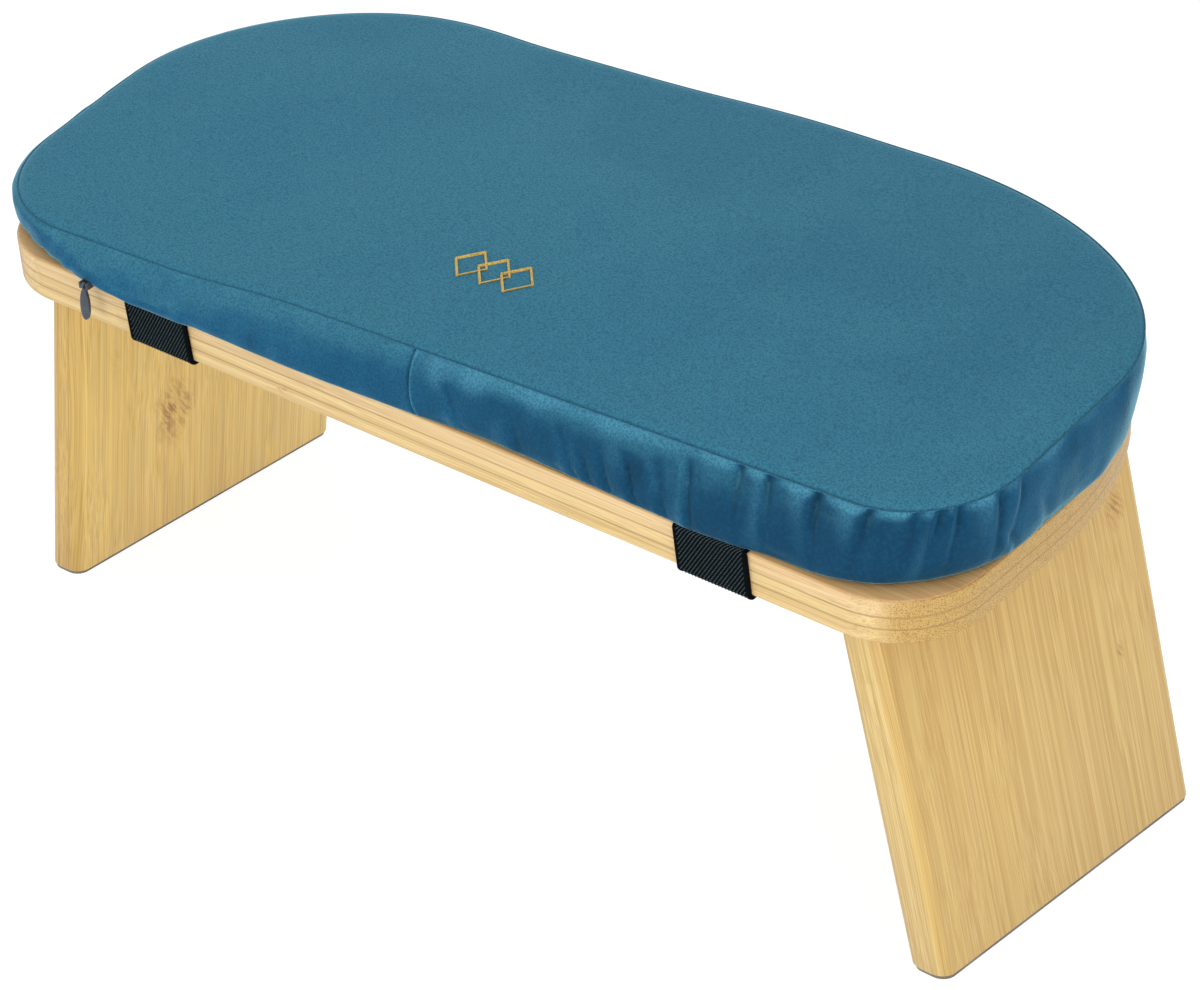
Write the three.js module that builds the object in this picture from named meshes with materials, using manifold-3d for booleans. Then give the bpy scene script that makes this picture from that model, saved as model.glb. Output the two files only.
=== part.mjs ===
import * as THREE from 'three';
import { mergeVertices } from 'three/addons/utils/BufferGeometryUtils.js';
import Module from 'manifold-3d';

// Folding bench for kneeling: a sloping seat board on two splayed legs that
// fold in flat under it, with a boxed cushion held on by two elastic straps.
// Millimetres, +Z up, X along the bench, the sitter faces -Y.
// The origin is on the floor at the middle of the whole bench's outline.

const wasm = await Module();
wasm.setup();

// Driving dimensions of the seat board
const seat_length = 450;
const seat_depth = 200;
const seat_thickness = 18;
const seat_front_radius = 34;
const seat_back_radius_x = 90;
const seat_back_radius_y = 125;
const seat_edge_ease = 1.2;
const seat_slope = THREE.MathUtils.degToRad(5.8);
const underside_height = 152.5;

// Driving dimensions of the legs
const leg_splay = THREE.MathUtils.degToRad(10.7);
const leg_width = 155;
const leg_thickness = 17;
const leg_edge_radius = 6;
const leg_front_setback = 7;
const leg_end_inset = 26.5;
const foot_strip_thickness = 1;
const foot_strip_inset = 0.8;

// Driving dimensions of the hinges and their screws
const hinge_length = 40;
const hinge_edge_setback = 18;
const leaf_width = 19;
const leaf_thickness = 1.5;
const knuckle_radius = 2.6;
const pin_radius = 1.2;
const pin_head_radius = 2.1;
const pin_head_height = 0.9;
const leaf_hole_spacing = 24;
const leaf_hole_setback = 12;
const screw_head_radius = 2.6;
const screw_head_height = 1.2;
const screw_shank_radius = 1.4;
const screw_length = 12;
const screw_tip_length = 3;

// Driving dimensions of the straps
const strap_width = 32;
const strap_thickness = 1.4;
const strap_hinge_gaps = { left: 14.2, right: 8.2 };
const strap_bend_radius = 2.6;
const strap_end_drop = 1.2;

// Driving dimensions of the cushion
const cushion_end_overhang = 7;
const cushion_front_overhang = 0.5;
const cushion_front_lean = 8.5;
const cushion_back_inset = 1.5;
const cushion_front_radius_top = 41;
const cushion_front_radius_bottom = 56;
const cushion_back_radius_x = 130;
const cushion_back_radius_y = 95;
const cushion_shift = -6;
const cushion_turn = THREE.MathUtils.degToRad(1);
const band_height = 27.5;
const band_rise_along = 14;
const band_rise_across = 10.5;
const band_bulge = 2.2;
const crown_height = 3.5;
const seam_roll = 1.3;
const cover_thickness = 1.2;

// Driving dimensions of the zip under the cushion's left end
const zip_corner_setback = 18.5;
const zip_travel = 11;
const zip_chain_width = 3.2;
const zip_chain_height = 1.2;
const slider_length = 4.2;
const slider_depth = 2.2;
const slider_height = 2.6;
const slider_ear_thickness = 0.8;
const slider_ear_reach = 2.4;
const slider_pin_radius = 0.45;
const puller_length = 14.4;
const puller_width = 4.6;
const puller_thickness = 1.1;
const puller_eye_radius = 1.35;
const puller_eye_width = 1.4;

// Clearances, overrun of the cutting solids, and counts
const fit_gap = 0.3;
const pin_gap = 0.25;
const cut_overrun = 5;
const knuckle_count = 3;
const ease_steps = 2;
const corner_steps = 8;
const round_steps = 16;
const screw_steps = 12;
const section_steps = 5;
const ring_straight_steps = 4;
const ring_corner_steps = 6;
const zip_chain_steps = 12;
const merge_share = 1e-4;

// Places worked out from the sizes above
const axis_offset = fit_gap + knuckle_radius;
const leg_outer_x = seat_length / 2 - leg_end_inset;
const leg_inner_x = leg_outer_x - leg_thickness / Math.cos(leg_splay);
const hinge_axis_x = leg_inner_x + axis_offset * Math.tan(leg_splay) - axis_offset / Math.cos(leg_splay);
const leg_front_y = -seat_depth / 2 + leg_front_setback;
const leg_middle_y = leg_front_y + leg_width / 2;
const leg_reach = (underside_height + seat_depth * Math.sin(seat_slope)) / Math.cos(leg_splay);
const hinge_spacing = leg_width - 2 * hinge_edge_setback - hinge_length;
const foot_top = foot_strip_thickness + fit_gap;
const strap_reach = hinge_axis_x - leaf_width - strap_width / 2;
const cushion_length = seat_length + 2 * cushion_end_overhang;
const cushion_front_bottom = seat_depth / 2 + cushion_front_overhang;
const cushion_front_top = cushion_front_bottom - cushion_front_lean;
const cushion_back = seat_depth / 2 - cushion_back_inset;
const cover_gap = cover_thickness + fit_gap;
const zip_start = cushion_length / 2 - cushion_front_radius_bottom - zip_corner_setback;
const slider_base = 2 * fit_gap;
const puller_axis_y = -slider_depth - puller_eye_radius - fit_gap;

// Materials, one colour each
const surface = (color, roughness, metalness = 0) =>
  new THREE.MeshStandardMaterial({ color: new THREE.Color(color), roughness, metalness });
const bamboo = surface('#dfbf82', 0.5);
const velvet = surface('#2f6f93', 0.85);
const elastic = surface('#15191a', 0.8);
const foam = surface('#e8e2d0', 0.95);
const steel = surface('#a9aaab', 0.35, 0.9);
const zip_metal = surface('#55585c', 0.45, 0.6);
const zip_black = surface('#1c1e20', 0.6);
const rubber = surface('#8d8780', 0.85);

// Solids: joining and cutting closed meshes
function toSolid(geometry) {
  const bare = geometry.clone();
  bare.deleteAttribute('normal');
  bare.deleteAttribute('uv');
  const merged = mergeVertices(bare, fit_gap * merge_share);
  return new wasm.Manifold(new wasm.Mesh({
    numProp: 3,
    vertProperties: Float32Array.from(merged.attributes.position.array),
    triVerts: Uint32Array.from(merged.index.array),
  }));
}

function toGeometry(solid) {
  const mesh = solid.getMesh();
  const geometry = new THREE.BufferGeometry();
  geometry.setAttribute('position', new THREE.Float32BufferAttribute(mesh.vertProperties, 3));
  geometry.setIndex(new THREE.Uint32BufferAttribute(mesh.triVerts, 1));
  return geometry;
}

function cut(geometry, cutters) {
  let solid = toSolid(geometry);
  for (const cutter of cutters) {
    solid = solid.subtract(toSolid(cutter));
  }
  return toGeometry(solid);
}

function join(geometries) {
  let solid = toSolid(geometries[0]);
  for (const other of geometries.slice(1)) {
    solid = solid.add(toSolid(other));
  }
  return toGeometry(solid);
}

// A box given by its low and high corners
function box(low, high) {
  const size = high.clone().sub(low);
  const middle = low.clone().add(high).multiplyScalar(0.5);
  return new THREE.BoxGeometry(size.x, size.y, size.z).translate(middle.x, middle.y, middle.z);
}

// A cylinder along Y, from its middle
function rodAlongY(radius, length, steps = round_steps) {
  return new THREE.CylinderGeometry(radius, radius, length, steps);
}

// A closed outline with small corners in front and large, oval ones behind
function benchOutline({ length, front, back, front_radius, back_radius_x, back_radius_y }) {
  const half = length / 2;
  const corner_x = Math.min(back_radius_x, half);
  const corner_y = back - back_radius_y;
  const outline = new THREE.Shape();
  outline.moveTo(-half + front_radius, -front);
  outline.lineTo(half - front_radius, -front);
  outline.absarc(half - front_radius, -front + front_radius, front_radius, -Math.PI / 2, 0);
  outline.lineTo(half, corner_y);
  outline.absellipse(half - corner_x, corner_y, corner_x, back_radius_y, 0, Math.PI / 2);
  outline.lineTo(-half + corner_x, back);
  outline.absellipse(-half + corner_x, corner_y, corner_x, back_radius_y, Math.PI / 2, Math.PI);
  outline.lineTo(-half, -front + front_radius);
  outline.absarc(-half + front_radius, -front + front_radius, front_radius, Math.PI, Math.PI * 1.5);
  return outline;
}

// The same outline as a ring of points, the same number whatever its sizes
function outlineRing(sizes) {
  const points = [];
  const runs = benchOutline(sizes).curves.filter((curve) => curve.getLength() > fit_gap);
  for (const curve of runs) {
    const steps = curve instanceof THREE.LineCurve ? ring_straight_steps : ring_corner_steps;
    for (let step = 0; step < steps; step += 1) {
      points.push(curve.getPoint(step / steps));
    }
  }
  return points;
}

// Rings of points joined into one closed surface, low ring first.
// A ring of one point closes an end; with no such ends the last meets the first.
function loft(rings) {
  const places = [];
  const faces = [];
  const starts = [];
  for (const ring of rings) {
    starts.push(places.length / 3);
    for (const point of ring) {
      places.push(point.x, point.y, point.z);
    }
  }
  const open = rings[0].length > 1;
  const spans = open ? rings.length : rings.length - 1;
  for (let i = 0; i < spans; i += 1) {
    const j = (i + 1) % rings.length;
    const count = Math.max(rings[i].length, rings[j].length);
    for (let k = 0; k < count; k += 1) {
      const next = (k + 1) % count;
      if (rings[i].length === 1) {
        faces.push(starts[i], starts[j] + next, starts[j] + k);
      } else if (rings[j].length === 1) {
        faces.push(starts[i] + k, starts[i] + next, starts[j]);
      } else {
        faces.push(starts[i] + k, starts[i] + next, starts[j] + next);
        faces.push(starts[i] + k, starts[j] + next, starts[j] + k);
      }
    }
  }
  const geometry = new THREE.BufferGeometry();
  geometry.setAttribute('position', new THREE.Float32BufferAttribute(places, 3));
  geometry.setIndex(faces);
  return geometry;
}

// Scene groups: the seat tilts with the board, each leg group sits on its hinge axis
const bench = new THREE.Group();
const seat = new THREE.Group();
seat.position.z = underside_height;
seat.rotation.x = seat_slope;
bench.add(seat);
const sides = [
  { name: 'left', sign: -1 },
  { name: 'right', sign: 1 },
];

function addMesh(group, name, geometry, material) {
  const mesh = new THREE.Mesh(geometry, material);
  mesh.name = name;
  group.add(mesh);
  return mesh;
}

// Where the hinges stand along the bench's depth, and their screws on a leaf
const hinges = [
  { name: 'front', y: leg_middle_y - hinge_spacing / 2 },
  { name: 'back', y: leg_middle_y + hinge_spacing / 2 },
];
const leaf_screws = [
  { name: 'a', y: -leaf_hole_spacing / 2 },
  { name: 'b', y: leaf_hole_spacing / 2 },
];

// Screw along +Z, its flat head's face at the origin
function screwProfile(grown = 0) {
  const neck = screw_head_height + grown;
  const tip = screw_length - screw_tip_length;
  return [
    new THREE.Vector2(0, 0),
    new THREE.Vector2(screw_head_radius + grown, 0),
    new THREE.Vector2(screw_shank_radius + grown, neck),
    new THREE.Vector2(screw_shank_radius + grown, tip),
    new THREE.Vector2(0, screw_length + grown),
  ];
}

function alongZ(geometry) {
  return geometry.rotateX(Math.PI / 2);
}

function screwGeometry(grown = 0) {
  return alongZ(new THREE.LatheGeometry(screwProfile(grown), screw_steps));
}

// The hole in a leaf flares past its open face, so the head lies flush
function screwHole() {
  const flare = screwGeometry(fit_gap);
  const mouth = alongZ(rodAlongY(screw_head_radius + fit_gap, cut_overrun, screw_steps));
  return join([flare, mouth.translate(0, 0, -cut_overrun / 2)]);
}

// Hinge leaf: axis along Y at the origin, plate along +X, wood on its +Z side
function leafGeometry(knuckles) {
  const low = knuckle_radius - leaf_thickness;
  const plate_start = knuckle_radius + fit_gap;
  const half = hinge_length / 2;
  const pieces = [box(
    new THREE.Vector3(plate_start, -half, low),
    new THREE.Vector3(leaf_width, half, knuckle_radius),
  )];
  for (const [start, end] of knuckles) {
    const middle = (start + end) / 2;
    pieces.push(rodAlongY(knuckle_radius, end - start).translate(0, middle, 0));
    pieces.push(box(
      new THREE.Vector3(0, start, low),
      new THREE.Vector3(plate_start + leaf_thickness, end, knuckle_radius),
    ));
  }
  const cutters = [rodAlongY(pin_radius + pin_gap, hinge_length + cut_overrun)];
  for (const { y } of leaf_screws) {
    cutters.push(screwHole().translate(leaf_hole_setback, y, low));
  }
  return cut(join(pieces), cutters);
}

const knuckle_span = hinge_length / knuckle_count;
const seat_leaf = leafGeometry([
  [-hinge_length / 2, -knuckle_span / 2 - fit_gap / 2],
  [knuckle_span / 2 + fit_gap / 2, hinge_length / 2],
]);
const leg_leaf = leafGeometry([[-knuckle_span / 2 + fit_gap / 2, knuckle_span / 2 - fit_gap / 2]]);

// Hinge pin along Y with a low head at each end
function pinGeometry() {
  const shoulder = hinge_length / 2 + fit_gap;
  const end = shoulder + pin_head_height;
  return new THREE.LatheGeometry([
    new THREE.Vector2(0, -end),
    new THREE.Vector2(pin_head_radius, -end),
    new THREE.Vector2(pin_head_radius, -shoulder),
    new THREE.Vector2(pin_radius, -shoulder),
    new THREE.Vector2(pin_radius, shoulder),
    new THREE.Vector2(pin_head_radius, shoulder),
    new THREE.Vector2(pin_head_radius, end),
    new THREE.Vector2(0, end),
  ], round_steps);
}

// Pilot hole for a screw, from the wood's face at the origin along +Z
function pilotHole() {
  const depth = screw_length + fit_gap;
  const hole = alongZ(rodAlongY(screw_shank_radius + fit_gap, depth + cut_overrun, screw_steps));
  return hole.translate(0, 0, (depth - cut_overrun) / 2);
}

// Seat board, with pilot holes for the hinge screws in its underside
function boardGeometry() {
  const outline = benchOutline({
    length: seat_length,
    front: seat_depth / 2,
    back: seat_depth / 2,
    front_radius: seat_front_radius,
    back_radius_x: seat_back_radius_x,
    back_radius_y: seat_back_radius_y,
  });
  const blank = new THREE.ExtrudeGeometry(outline, {
    depth: seat_thickness - 2 * seat_edge_ease,
    bevelEnabled: true,
    bevelSize: seat_edge_ease,
    bevelThickness: seat_edge_ease,
    bevelOffset: -seat_edge_ease,
    bevelSegments: ease_steps,
    curveSegments: corner_steps,
  }).translate(0, 0, seat_edge_ease);
  const holes = [];
  for (const { sign } of sides) {
    for (const hinge of hinges) {
      for (const { y } of leaf_screws) {
        holes.push(pilotHole().translate(sign * (hinge_axis_x - leaf_hole_setback), hinge.y + y, 0));
      }
    }
  }
  return cut(blank, holes);
}

// Outline of a leg's section, across its thickness and its width
function legSection(inset) {
  const half_x = leg_thickness / 2 - inset;
  const half_y = leg_width / 2 - inset;
  const radius = leg_edge_radius - inset;
  const section = new THREE.Shape();
  section.moveTo(-half_x + radius, -half_y);
  section.lineTo(half_x - radius, -half_y);
  section.absarc(half_x - radius, -half_y + radius, radius, -Math.PI / 2, 0);
  section.lineTo(half_x, half_y - radius);
  section.absarc(half_x - radius, half_y - radius, radius, 0, Math.PI / 2);
  section.lineTo(-half_x + radius, half_y);
  section.absarc(-half_x + radius, half_y - radius, radius, Math.PI / 2, Math.PI);
  section.lineTo(-half_x, -half_y + radius);
  section.absarc(-half_x + radius, -half_y + radius, radius, Math.PI, Math.PI * 1.5);
  return section;
}

// A leg's blank, longer than the leg at both ends, in the leg group's frame
function legBlank(sign, inset) {
  const length = leg_reach + 2 * leg_thickness;
  const blank = new THREE.ExtrudeGeometry(legSection(inset), {
    depth: length,
    bevelEnabled: false,
    curveSegments: section_steps,
  });
  const middle_x = sign * (axis_offset + leg_thickness / 2);
  return blank.translate(middle_x, leg_middle_y, leg_thickness - length);
}

// Slab between two heights over the floor, seen from a group inside the bench
function floorSlab(group, low, high) {
  const reach = seat_length;
  const slab = box(new THREE.Vector3(-reach, -reach, low), new THREE.Vector3(reach, reach, high));
  return slab.applyMatrix4(group.matrixWorld.clone().invert());
}

// Slab over the board's underside, seen from a group inside the seat
function undersideSlab(group) {
  const reach = seat_length;
  const slab = box(new THREE.Vector3(-reach, -reach, -fit_gap), new THREE.Vector3(reach, reach, reach));
  slab.applyMatrix4(seat.matrixWorld);
  return slab.applyMatrix4(group.matrixWorld.clone().invert());
}

function legGeometry(group, sign) {
  const cutters = [undersideSlab(group), floorSlab(group, -seat_length, foot_top)];
  for (const hinge of hinges) {
    for (const { y } of leaf_screws) {
      const hole = pilotHole().rotateY(sign * Math.PI / 2);
      cutters.push(hole.translate(sign * axis_offset, hinge.y + y, -leaf_hole_setback));
    }
  }
  return cut(legBlank(sign, 0), cutters);
}

function footStripGeometry(group, sign) {
  return cut(legBlank(sign, foot_strip_inset), [
    floorSlab(group, -seat_length, 0),
    floorSlab(group, foot_strip_thickness, seat_length),
  ]);
}

// Legs, feet, hinges and screws of one side
function addSide({ name, sign }) {
  const seat_side = new THREE.Group();
  seat_side.position.set(sign * hinge_axis_x, 0, -axis_offset);
  const leg = new THREE.Group();
  leg.position.copy(seat_side.position);
  leg.rotation.y = -sign * leg_splay;
  seat.add(seat_side, leg);
  bench.updateMatrixWorld(true);

  addMesh(leg, `leg_${name}`, legGeometry(leg, sign), bamboo);
  addMesh(leg, `foot_strip_${name}`, footStripGeometry(leg, sign), rubber);

  for (const hinge of hinges) {
    const label = `${name}_${hinge.name}`;
    const seat_turn = sign > 0 ? Math.PI : 0;
    const leg_turn = sign > 0 ? 0 : Math.PI;
    const seat_frame = new THREE.Group();
    seat_frame.position.y = hinge.y;
    seat_frame.rotation.z = seat_turn;
    const leg_frame = new THREE.Group();
    leg_frame.position.y = hinge.y;
    leg_frame.rotation.set(0, sign * Math.PI / 2, leg_turn, 'YXZ');
    seat_side.add(seat_frame);
    leg.add(leg_frame);
    addMesh(seat_frame, `hinge_seat_leaf_${label}`, seat_leaf.clone(), steel);
    addMesh(leg_frame, `hinge_leg_leaf_${label}`, leg_leaf.clone(), steel);
    addMesh(seat_frame, `hinge_pin_${label}`, pinGeometry(), steel);
    for (const screw of leaf_screws) {
      const head = new THREE.Vector3(leaf_hole_setback, screw.y, knuckle_radius - leaf_thickness);
      const seat_screw = addMesh(seat_frame, `screw_seat_${label}_${screw.name}`, screwGeometry(), steel);
      const leg_screw = addMesh(leg_frame, `screw_leg_${label}_${screw.name}`, screwGeometry(), steel);
      seat_screw.position.copy(head);
      leg_screw.position.copy(head);
    }
  }
}

// Elastic strap: one band round the board's front, underside and back
function strapGeometry() {
  const inner_y = seat_depth / 2 + fit_gap;
  const outer_y = inner_y + strap_thickness;
  const inner_z = -fit_gap;
  const outer_z = inner_z - strap_thickness;
  const top = seat_thickness - strap_end_drop;
  const outside = strap_bend_radius;
  const inside = strap_bend_radius - strap_thickness;
  const bend_y = outer_y - outside;
  const bend_z = outer_z + outside;
  const profile = new THREE.Shape();
  profile.moveTo(-outer_y, top);
  profile.lineTo(-outer_y, bend_z);
  profile.absarc(-bend_y, bend_z, outside, Math.PI, Math.PI * 1.5);
  profile.lineTo(bend_y, outer_z);
  profile.absarc(bend_y, bend_z, outside, -Math.PI / 2, 0);
  profile.lineTo(outer_y, top);
  profile.lineTo(inner_y, top);
  profile.lineTo(inner_y, bend_z);
  profile.absarc(bend_y, bend_z, inside, 0, -Math.PI / 2, true);
  profile.lineTo(-bend_y, inner_z);
  profile.absarc(-bend_y, bend_z, inside, -Math.PI / 2, -Math.PI, true);
  profile.lineTo(-inner_y, top);
  const band = new THREE.ExtrudeGeometry(profile, {
    depth: strap_width,
    bevelEnabled: false,
    curveSegments: section_steps,
  });
  return band.translate(0, 0, -strap_width / 2).rotateX(Math.PI / 2).rotateZ(Math.PI / 2);
}

// Cushion: height of its upper seam over the board at a place on it
function seamHeight(x, y) {
  return band_height + band_rise_along * x / cushion_length + band_rise_across * y / seat_depth;
}

// Cushion outline at a level between its lower (0) and upper (1) seam, moved in by inset
function cushionRing(level, inset) {
  const front = THREE.MathUtils.lerp(cushion_front_bottom, cushion_front_top, level);
  const radius = THREE.MathUtils.lerp(cushion_front_radius_bottom, cushion_front_radius_top, level);
  const grow = band_bulge * Math.sin(Math.PI * level) - inset;
  return outlineRing({
    length: cushion_length + 2 * grow,
    front: front + grow,
    back: cushion_back + grow,
    front_radius: radius + grow,
    back_radius_x: cushion_back_radius_x + grow,
    back_radius_y: cushion_back_radius_y + grow,
  });
}

// The same outline lifted to its place in the side band, which ends below the top panel
function bandRing(level, inset) {
  return cushionRing(level, inset).map((p) => {
    const height = seamHeight(p.x, p.y) - cover_gap;
    return new THREE.Vector3(p.x, p.y, fit_gap + level * height);
  });
}

// A ring on the cushion's top: share 0 at its middle, 1 at the upper seam
function crownRing(share, inset, drop) {
  if (share === 0) {
    const peak = fit_gap + seamHeight(0, 0) + crown_height + seam_roll;
    return [new THREE.Vector3(0, 0, peak - drop)];
  }
  const rise = crown_height * (1 - share ** 2) + (share < 1 ? seam_roll : 0);
  return cushionRing(1, inset).map((p) => new THREE.Vector3(
    p.x * share,
    p.y * share,
    fit_gap + seamHeight(p.x * share, p.y * share) + rise - drop,
  ));
}

function flatRing(share, inset, height) {
  const ring = share === 0 ? [new THREE.Vector2()] : cushionRing(0, inset);
  return ring.map((p) => new THREE.Vector3(p.x * share, p.y * share, height));
}

const band_level_shares = [0, 0.2, 0.5, 0.8, 1];
const crown_shares = [0.95, 0.7, 0.35];

function foamGeometry() {
  const floor = cover_gap + fit_gap;
  const raised_levels = band_level_shares.slice(1);
  return loft([
    flatRing(0, floor, floor),
    flatRing(1, floor, floor),
    ...raised_levels.map((level) => bandRing(level, cover_gap)),
    ...crown_shares.map((share) => crownRing(share, cover_gap, cover_gap)),
    crownRing(0, cover_gap, cover_gap),
  ]);
}

function coverTopGeometry() {
  const shares = [1, ...crown_shares];
  const lower = [...shares].reverse().map((share) => crownRing(share, 0, cover_thickness));
  const upper = shares.map((share) => crownRing(share, 0, 0));
  return loft([crownRing(0, 0, cover_thickness), ...lower, ...upper, crownRing(0, 0, 0)]);
}

function coverBandGeometry() {
  const outer = band_level_shares.map((level) => bandRing(level, 0));
  const inner = band_level_shares.map((level) => bandRing(level, cover_thickness)).reverse();
  return loft([...outer, ...inner]);
}

function coverBottomGeometry() {
  return loft([
    flatRing(0, cover_gap, fit_gap),
    flatRing(1, cover_gap, fit_gap),
    flatRing(1, cover_gap, fit_gap + cover_thickness),
    flatRing(0, cover_gap, fit_gap + cover_thickness),
  ]);
}

// Zip chain: a flat strip inside the band's lower edge, from the closed end
// of the zip round the left end of the cushion
function zipChainGeometry(grown = 0) {
  const outer = cushionRing(0, cover_gap - grown);
  const inner = cushionRing(0, cover_gap + zip_chain_width + grown);
  const low = fit_gap - (grown > 0 ? cut_overrun : 0);
  const high = fit_gap + zip_chain_height + (grown > 0 ? cut_overrun : 0);
  const section = (out, back) => [
    new THREE.Vector3(out.x, out.y, low),
    new THREE.Vector3(out.x, out.y, high),
    new THREE.Vector3(back.x, back.y, high),
    new THREE.Vector3(back.x, back.y, low),
  ];
  const start_x = -zip_start + slider_length / 2 + grown;
  const sections = [section(
    new THREE.Vector2(start_x, outer[0].y),
    new THREE.Vector2(start_x, inner[0].y),
  )];
  for (let step = 0; step <= zip_chain_steps; step += 1) {
    const k = (outer.length - step) % outer.length;
    sections.push(section(outer[k], inner[k]));
  }
  const middle = (ring) => {
    const sum = ring.reduce((total, point) => total.add(point), new THREE.Vector3());
    return [sum.divideScalar(ring.length)];
  };
  return loft([middle(sections[0]), ...sections, middle(sections[sections.length - 1])]);
}

// The bottom panel stops short of the zip chain
function coverBottomCut() {
  return cut(coverBottomGeometry(), [zipChainGeometry(fit_gap)]);
}

// The band is cut back along the slider's run
function coverBandCut() {
  const notch = box(
    new THREE.Vector3(-zip_start - zip_travel - slider_length / 2 - fit_gap, -seat_depth, -cut_overrun),
    new THREE.Vector3(-zip_start + slider_length / 2 + fit_gap, 0, slider_base + slider_height + fit_gap),
  );
  return cut(coverBandGeometry(), [notch]);
}

// Zip slider: a block on the chain with two ears and the puller's cross pin
function sliderGeometry() {
  const half = slider_length / 2;
  const ear_end = -slider_depth - slider_ear_reach;
  const pieces = [
    box(new THREE.Vector3(-half, -slider_depth, 0), new THREE.Vector3(half, 0, slider_height)),
  ];
  for (const sign of [-1, 1]) {
    const outside = sign * half;
    const inside = sign * (half - slider_ear_thickness);
    pieces.push(box(
      new THREE.Vector3(Math.min(outside, inside), ear_end, 0),
      new THREE.Vector3(Math.max(outside, inside), -slider_depth / 2, slider_height),
    ));
  }
  const pin = rodAlongY(slider_pin_radius, slider_length - slider_ear_thickness, corner_steps);
  pieces.push(pin.rotateZ(Math.PI / 2).translate(0, puller_axis_y, slider_height / 2));
  return join(pieces);
}

// Zip puller: an eye on the slider's pin over a flat leaf-shaped tab
function pullerGeometry() {
  const half = puller_width / 2;
  const neck = puller_eye_width / 2;
  const shoulder = -puller_length / 5;
  const widest = -puller_length * 3 / 5;
  const tip_bend = -puller_length * 7 / 8;
  const tab = new THREE.Shape();
  tab.moveTo(-neck, 0);
  tab.bezierCurveTo(-neck, shoulder, -half, shoulder, -half, widest);
  tab.bezierCurveTo(-half, tip_bend, -half / 2, -puller_length, 0, -puller_length);
  tab.bezierCurveTo(half / 2, -puller_length, half, tip_bend, half, widest);
  tab.bezierCurveTo(half, shoulder, neck, shoulder, neck, 0);
  tab.lineTo(-neck, 0);
  const plate = new THREE.ExtrudeGeometry(tab, {
    depth: puller_thickness,
    bevelEnabled: false,
    curveSegments: corner_steps,
  }).translate(0, 0, -puller_thickness / 2).rotateX(Math.PI / 2);
  const eye = rodAlongY(puller_eye_radius, puller_eye_width).rotateZ(Math.PI / 2);
  const hole = rodAlongY(slider_pin_radius + fit_gap, puller_eye_width + cut_overrun, corner_steps);
  return cut(join([plate, eye]), [hole.rotateZ(Math.PI / 2)]);
}

// Everything on one side's leg, for both sides
for (const side of sides) {
  addSide(side);
}

addMesh(seat, 'seat_board', boardGeometry(), bamboo);

for (const { name, sign } of sides) {
  const strap = addMesh(seat, `strap_${name}`, strapGeometry(), elastic);
  strap.position.x = sign * (strap_reach - strap_hinge_gaps[name]);
}

// Cushion with its cover, and the zip on it
const cushion = new THREE.Group();
cushion.position.set(cushion_shift, 0, seat_thickness);
cushion.rotation.z = cushion_turn;
seat.add(cushion);
addMesh(cushion, 'foam_pad', foamGeometry(), foam);
addMesh(cushion, 'cover_top_panel', coverTopGeometry(), velvet);
addMesh(cushion, 'cover_side_band', coverBandCut(), velvet);
addMesh(cushion, 'cover_bottom_panel', coverBottomCut(), velvet);
addMesh(cushion, 'zip_chain', zipChainGeometry(), zip_black);

const slider = new THREE.Group();
slider.position.set(-zip_start, -cushion_front_bottom + cover_thickness, slider_base);
cushion.add(slider);
addMesh(slider, 'zip_slider', sliderGeometry(), zip_black);
const puller = addMesh(slider, 'zip_puller', pullerGeometry(), zip_metal);
puller.position.set(0, puller_axis_y, slider_height / 2);
puller.rotation.x = -seat_slope;

// The origin goes to the floor under the middle of the bench's outline
bench.updateMatrixWorld(true);
const extent = new THREE.Box3().setFromObject(bench, true);
bench.position.set(-(extent.min.x + extent.max.x) / 2, -(extent.min.y + extent.max.y) / 2, 0);

export default bench;
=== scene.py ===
import math
import random

import bpy
import numpy as np
from mathutils import Matrix, Vector
from mathutils.bvhtree import BVHTree


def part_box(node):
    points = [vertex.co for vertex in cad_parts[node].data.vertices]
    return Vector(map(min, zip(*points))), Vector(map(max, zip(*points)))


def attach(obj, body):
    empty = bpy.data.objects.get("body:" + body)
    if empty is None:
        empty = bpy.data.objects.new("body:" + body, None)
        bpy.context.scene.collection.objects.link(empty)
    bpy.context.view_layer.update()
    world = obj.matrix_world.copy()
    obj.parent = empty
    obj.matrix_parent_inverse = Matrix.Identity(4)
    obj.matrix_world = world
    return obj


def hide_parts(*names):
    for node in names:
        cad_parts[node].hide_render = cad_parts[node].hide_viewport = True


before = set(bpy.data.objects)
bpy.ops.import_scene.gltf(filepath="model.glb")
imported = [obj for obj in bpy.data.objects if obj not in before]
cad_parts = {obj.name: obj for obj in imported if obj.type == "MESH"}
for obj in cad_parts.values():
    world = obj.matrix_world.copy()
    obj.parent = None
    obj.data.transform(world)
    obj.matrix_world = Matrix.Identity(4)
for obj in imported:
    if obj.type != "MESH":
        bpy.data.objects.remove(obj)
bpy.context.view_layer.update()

# Seat board
SEAT_SLOPE = math.radians(5.8)
SEAT_LENGTH = 0.450
SEAT_DEPTH = 0.200
SEAT_THICKNESS = 0.018
SEAT_FRONT_RADIUS = 0.034
SEAT_BACK_RADIUS_X = 0.090
SEAT_BACK_RADIUS_Y = 0.125
SEAT_EDGE_EASE = 0.0012
SEAT_GLUE_LINES = (0.0062, 0.0111)

# Legs and the strips under them
LEG_SPLAY = math.radians(10.7)
LEG_WIDTH = 0.155
LEG_THICKNESS = 0.017
LEG_EDGE_RADIUS = 0.006
LEG_FRONT_SETBACK = 0.007
LEG_END_INSET = 0.0265
LEG_EASE = 0.0007
LEG_GLUE_LINES = (0.0057, 0.0113)
FOOT_STRIP_THICKNESS = 0.001
FOOT_STRIP_INSET = 0.0008
KNUCKLE_RADIUS = 0.0026
FIT_GAP = 0.0003

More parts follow.
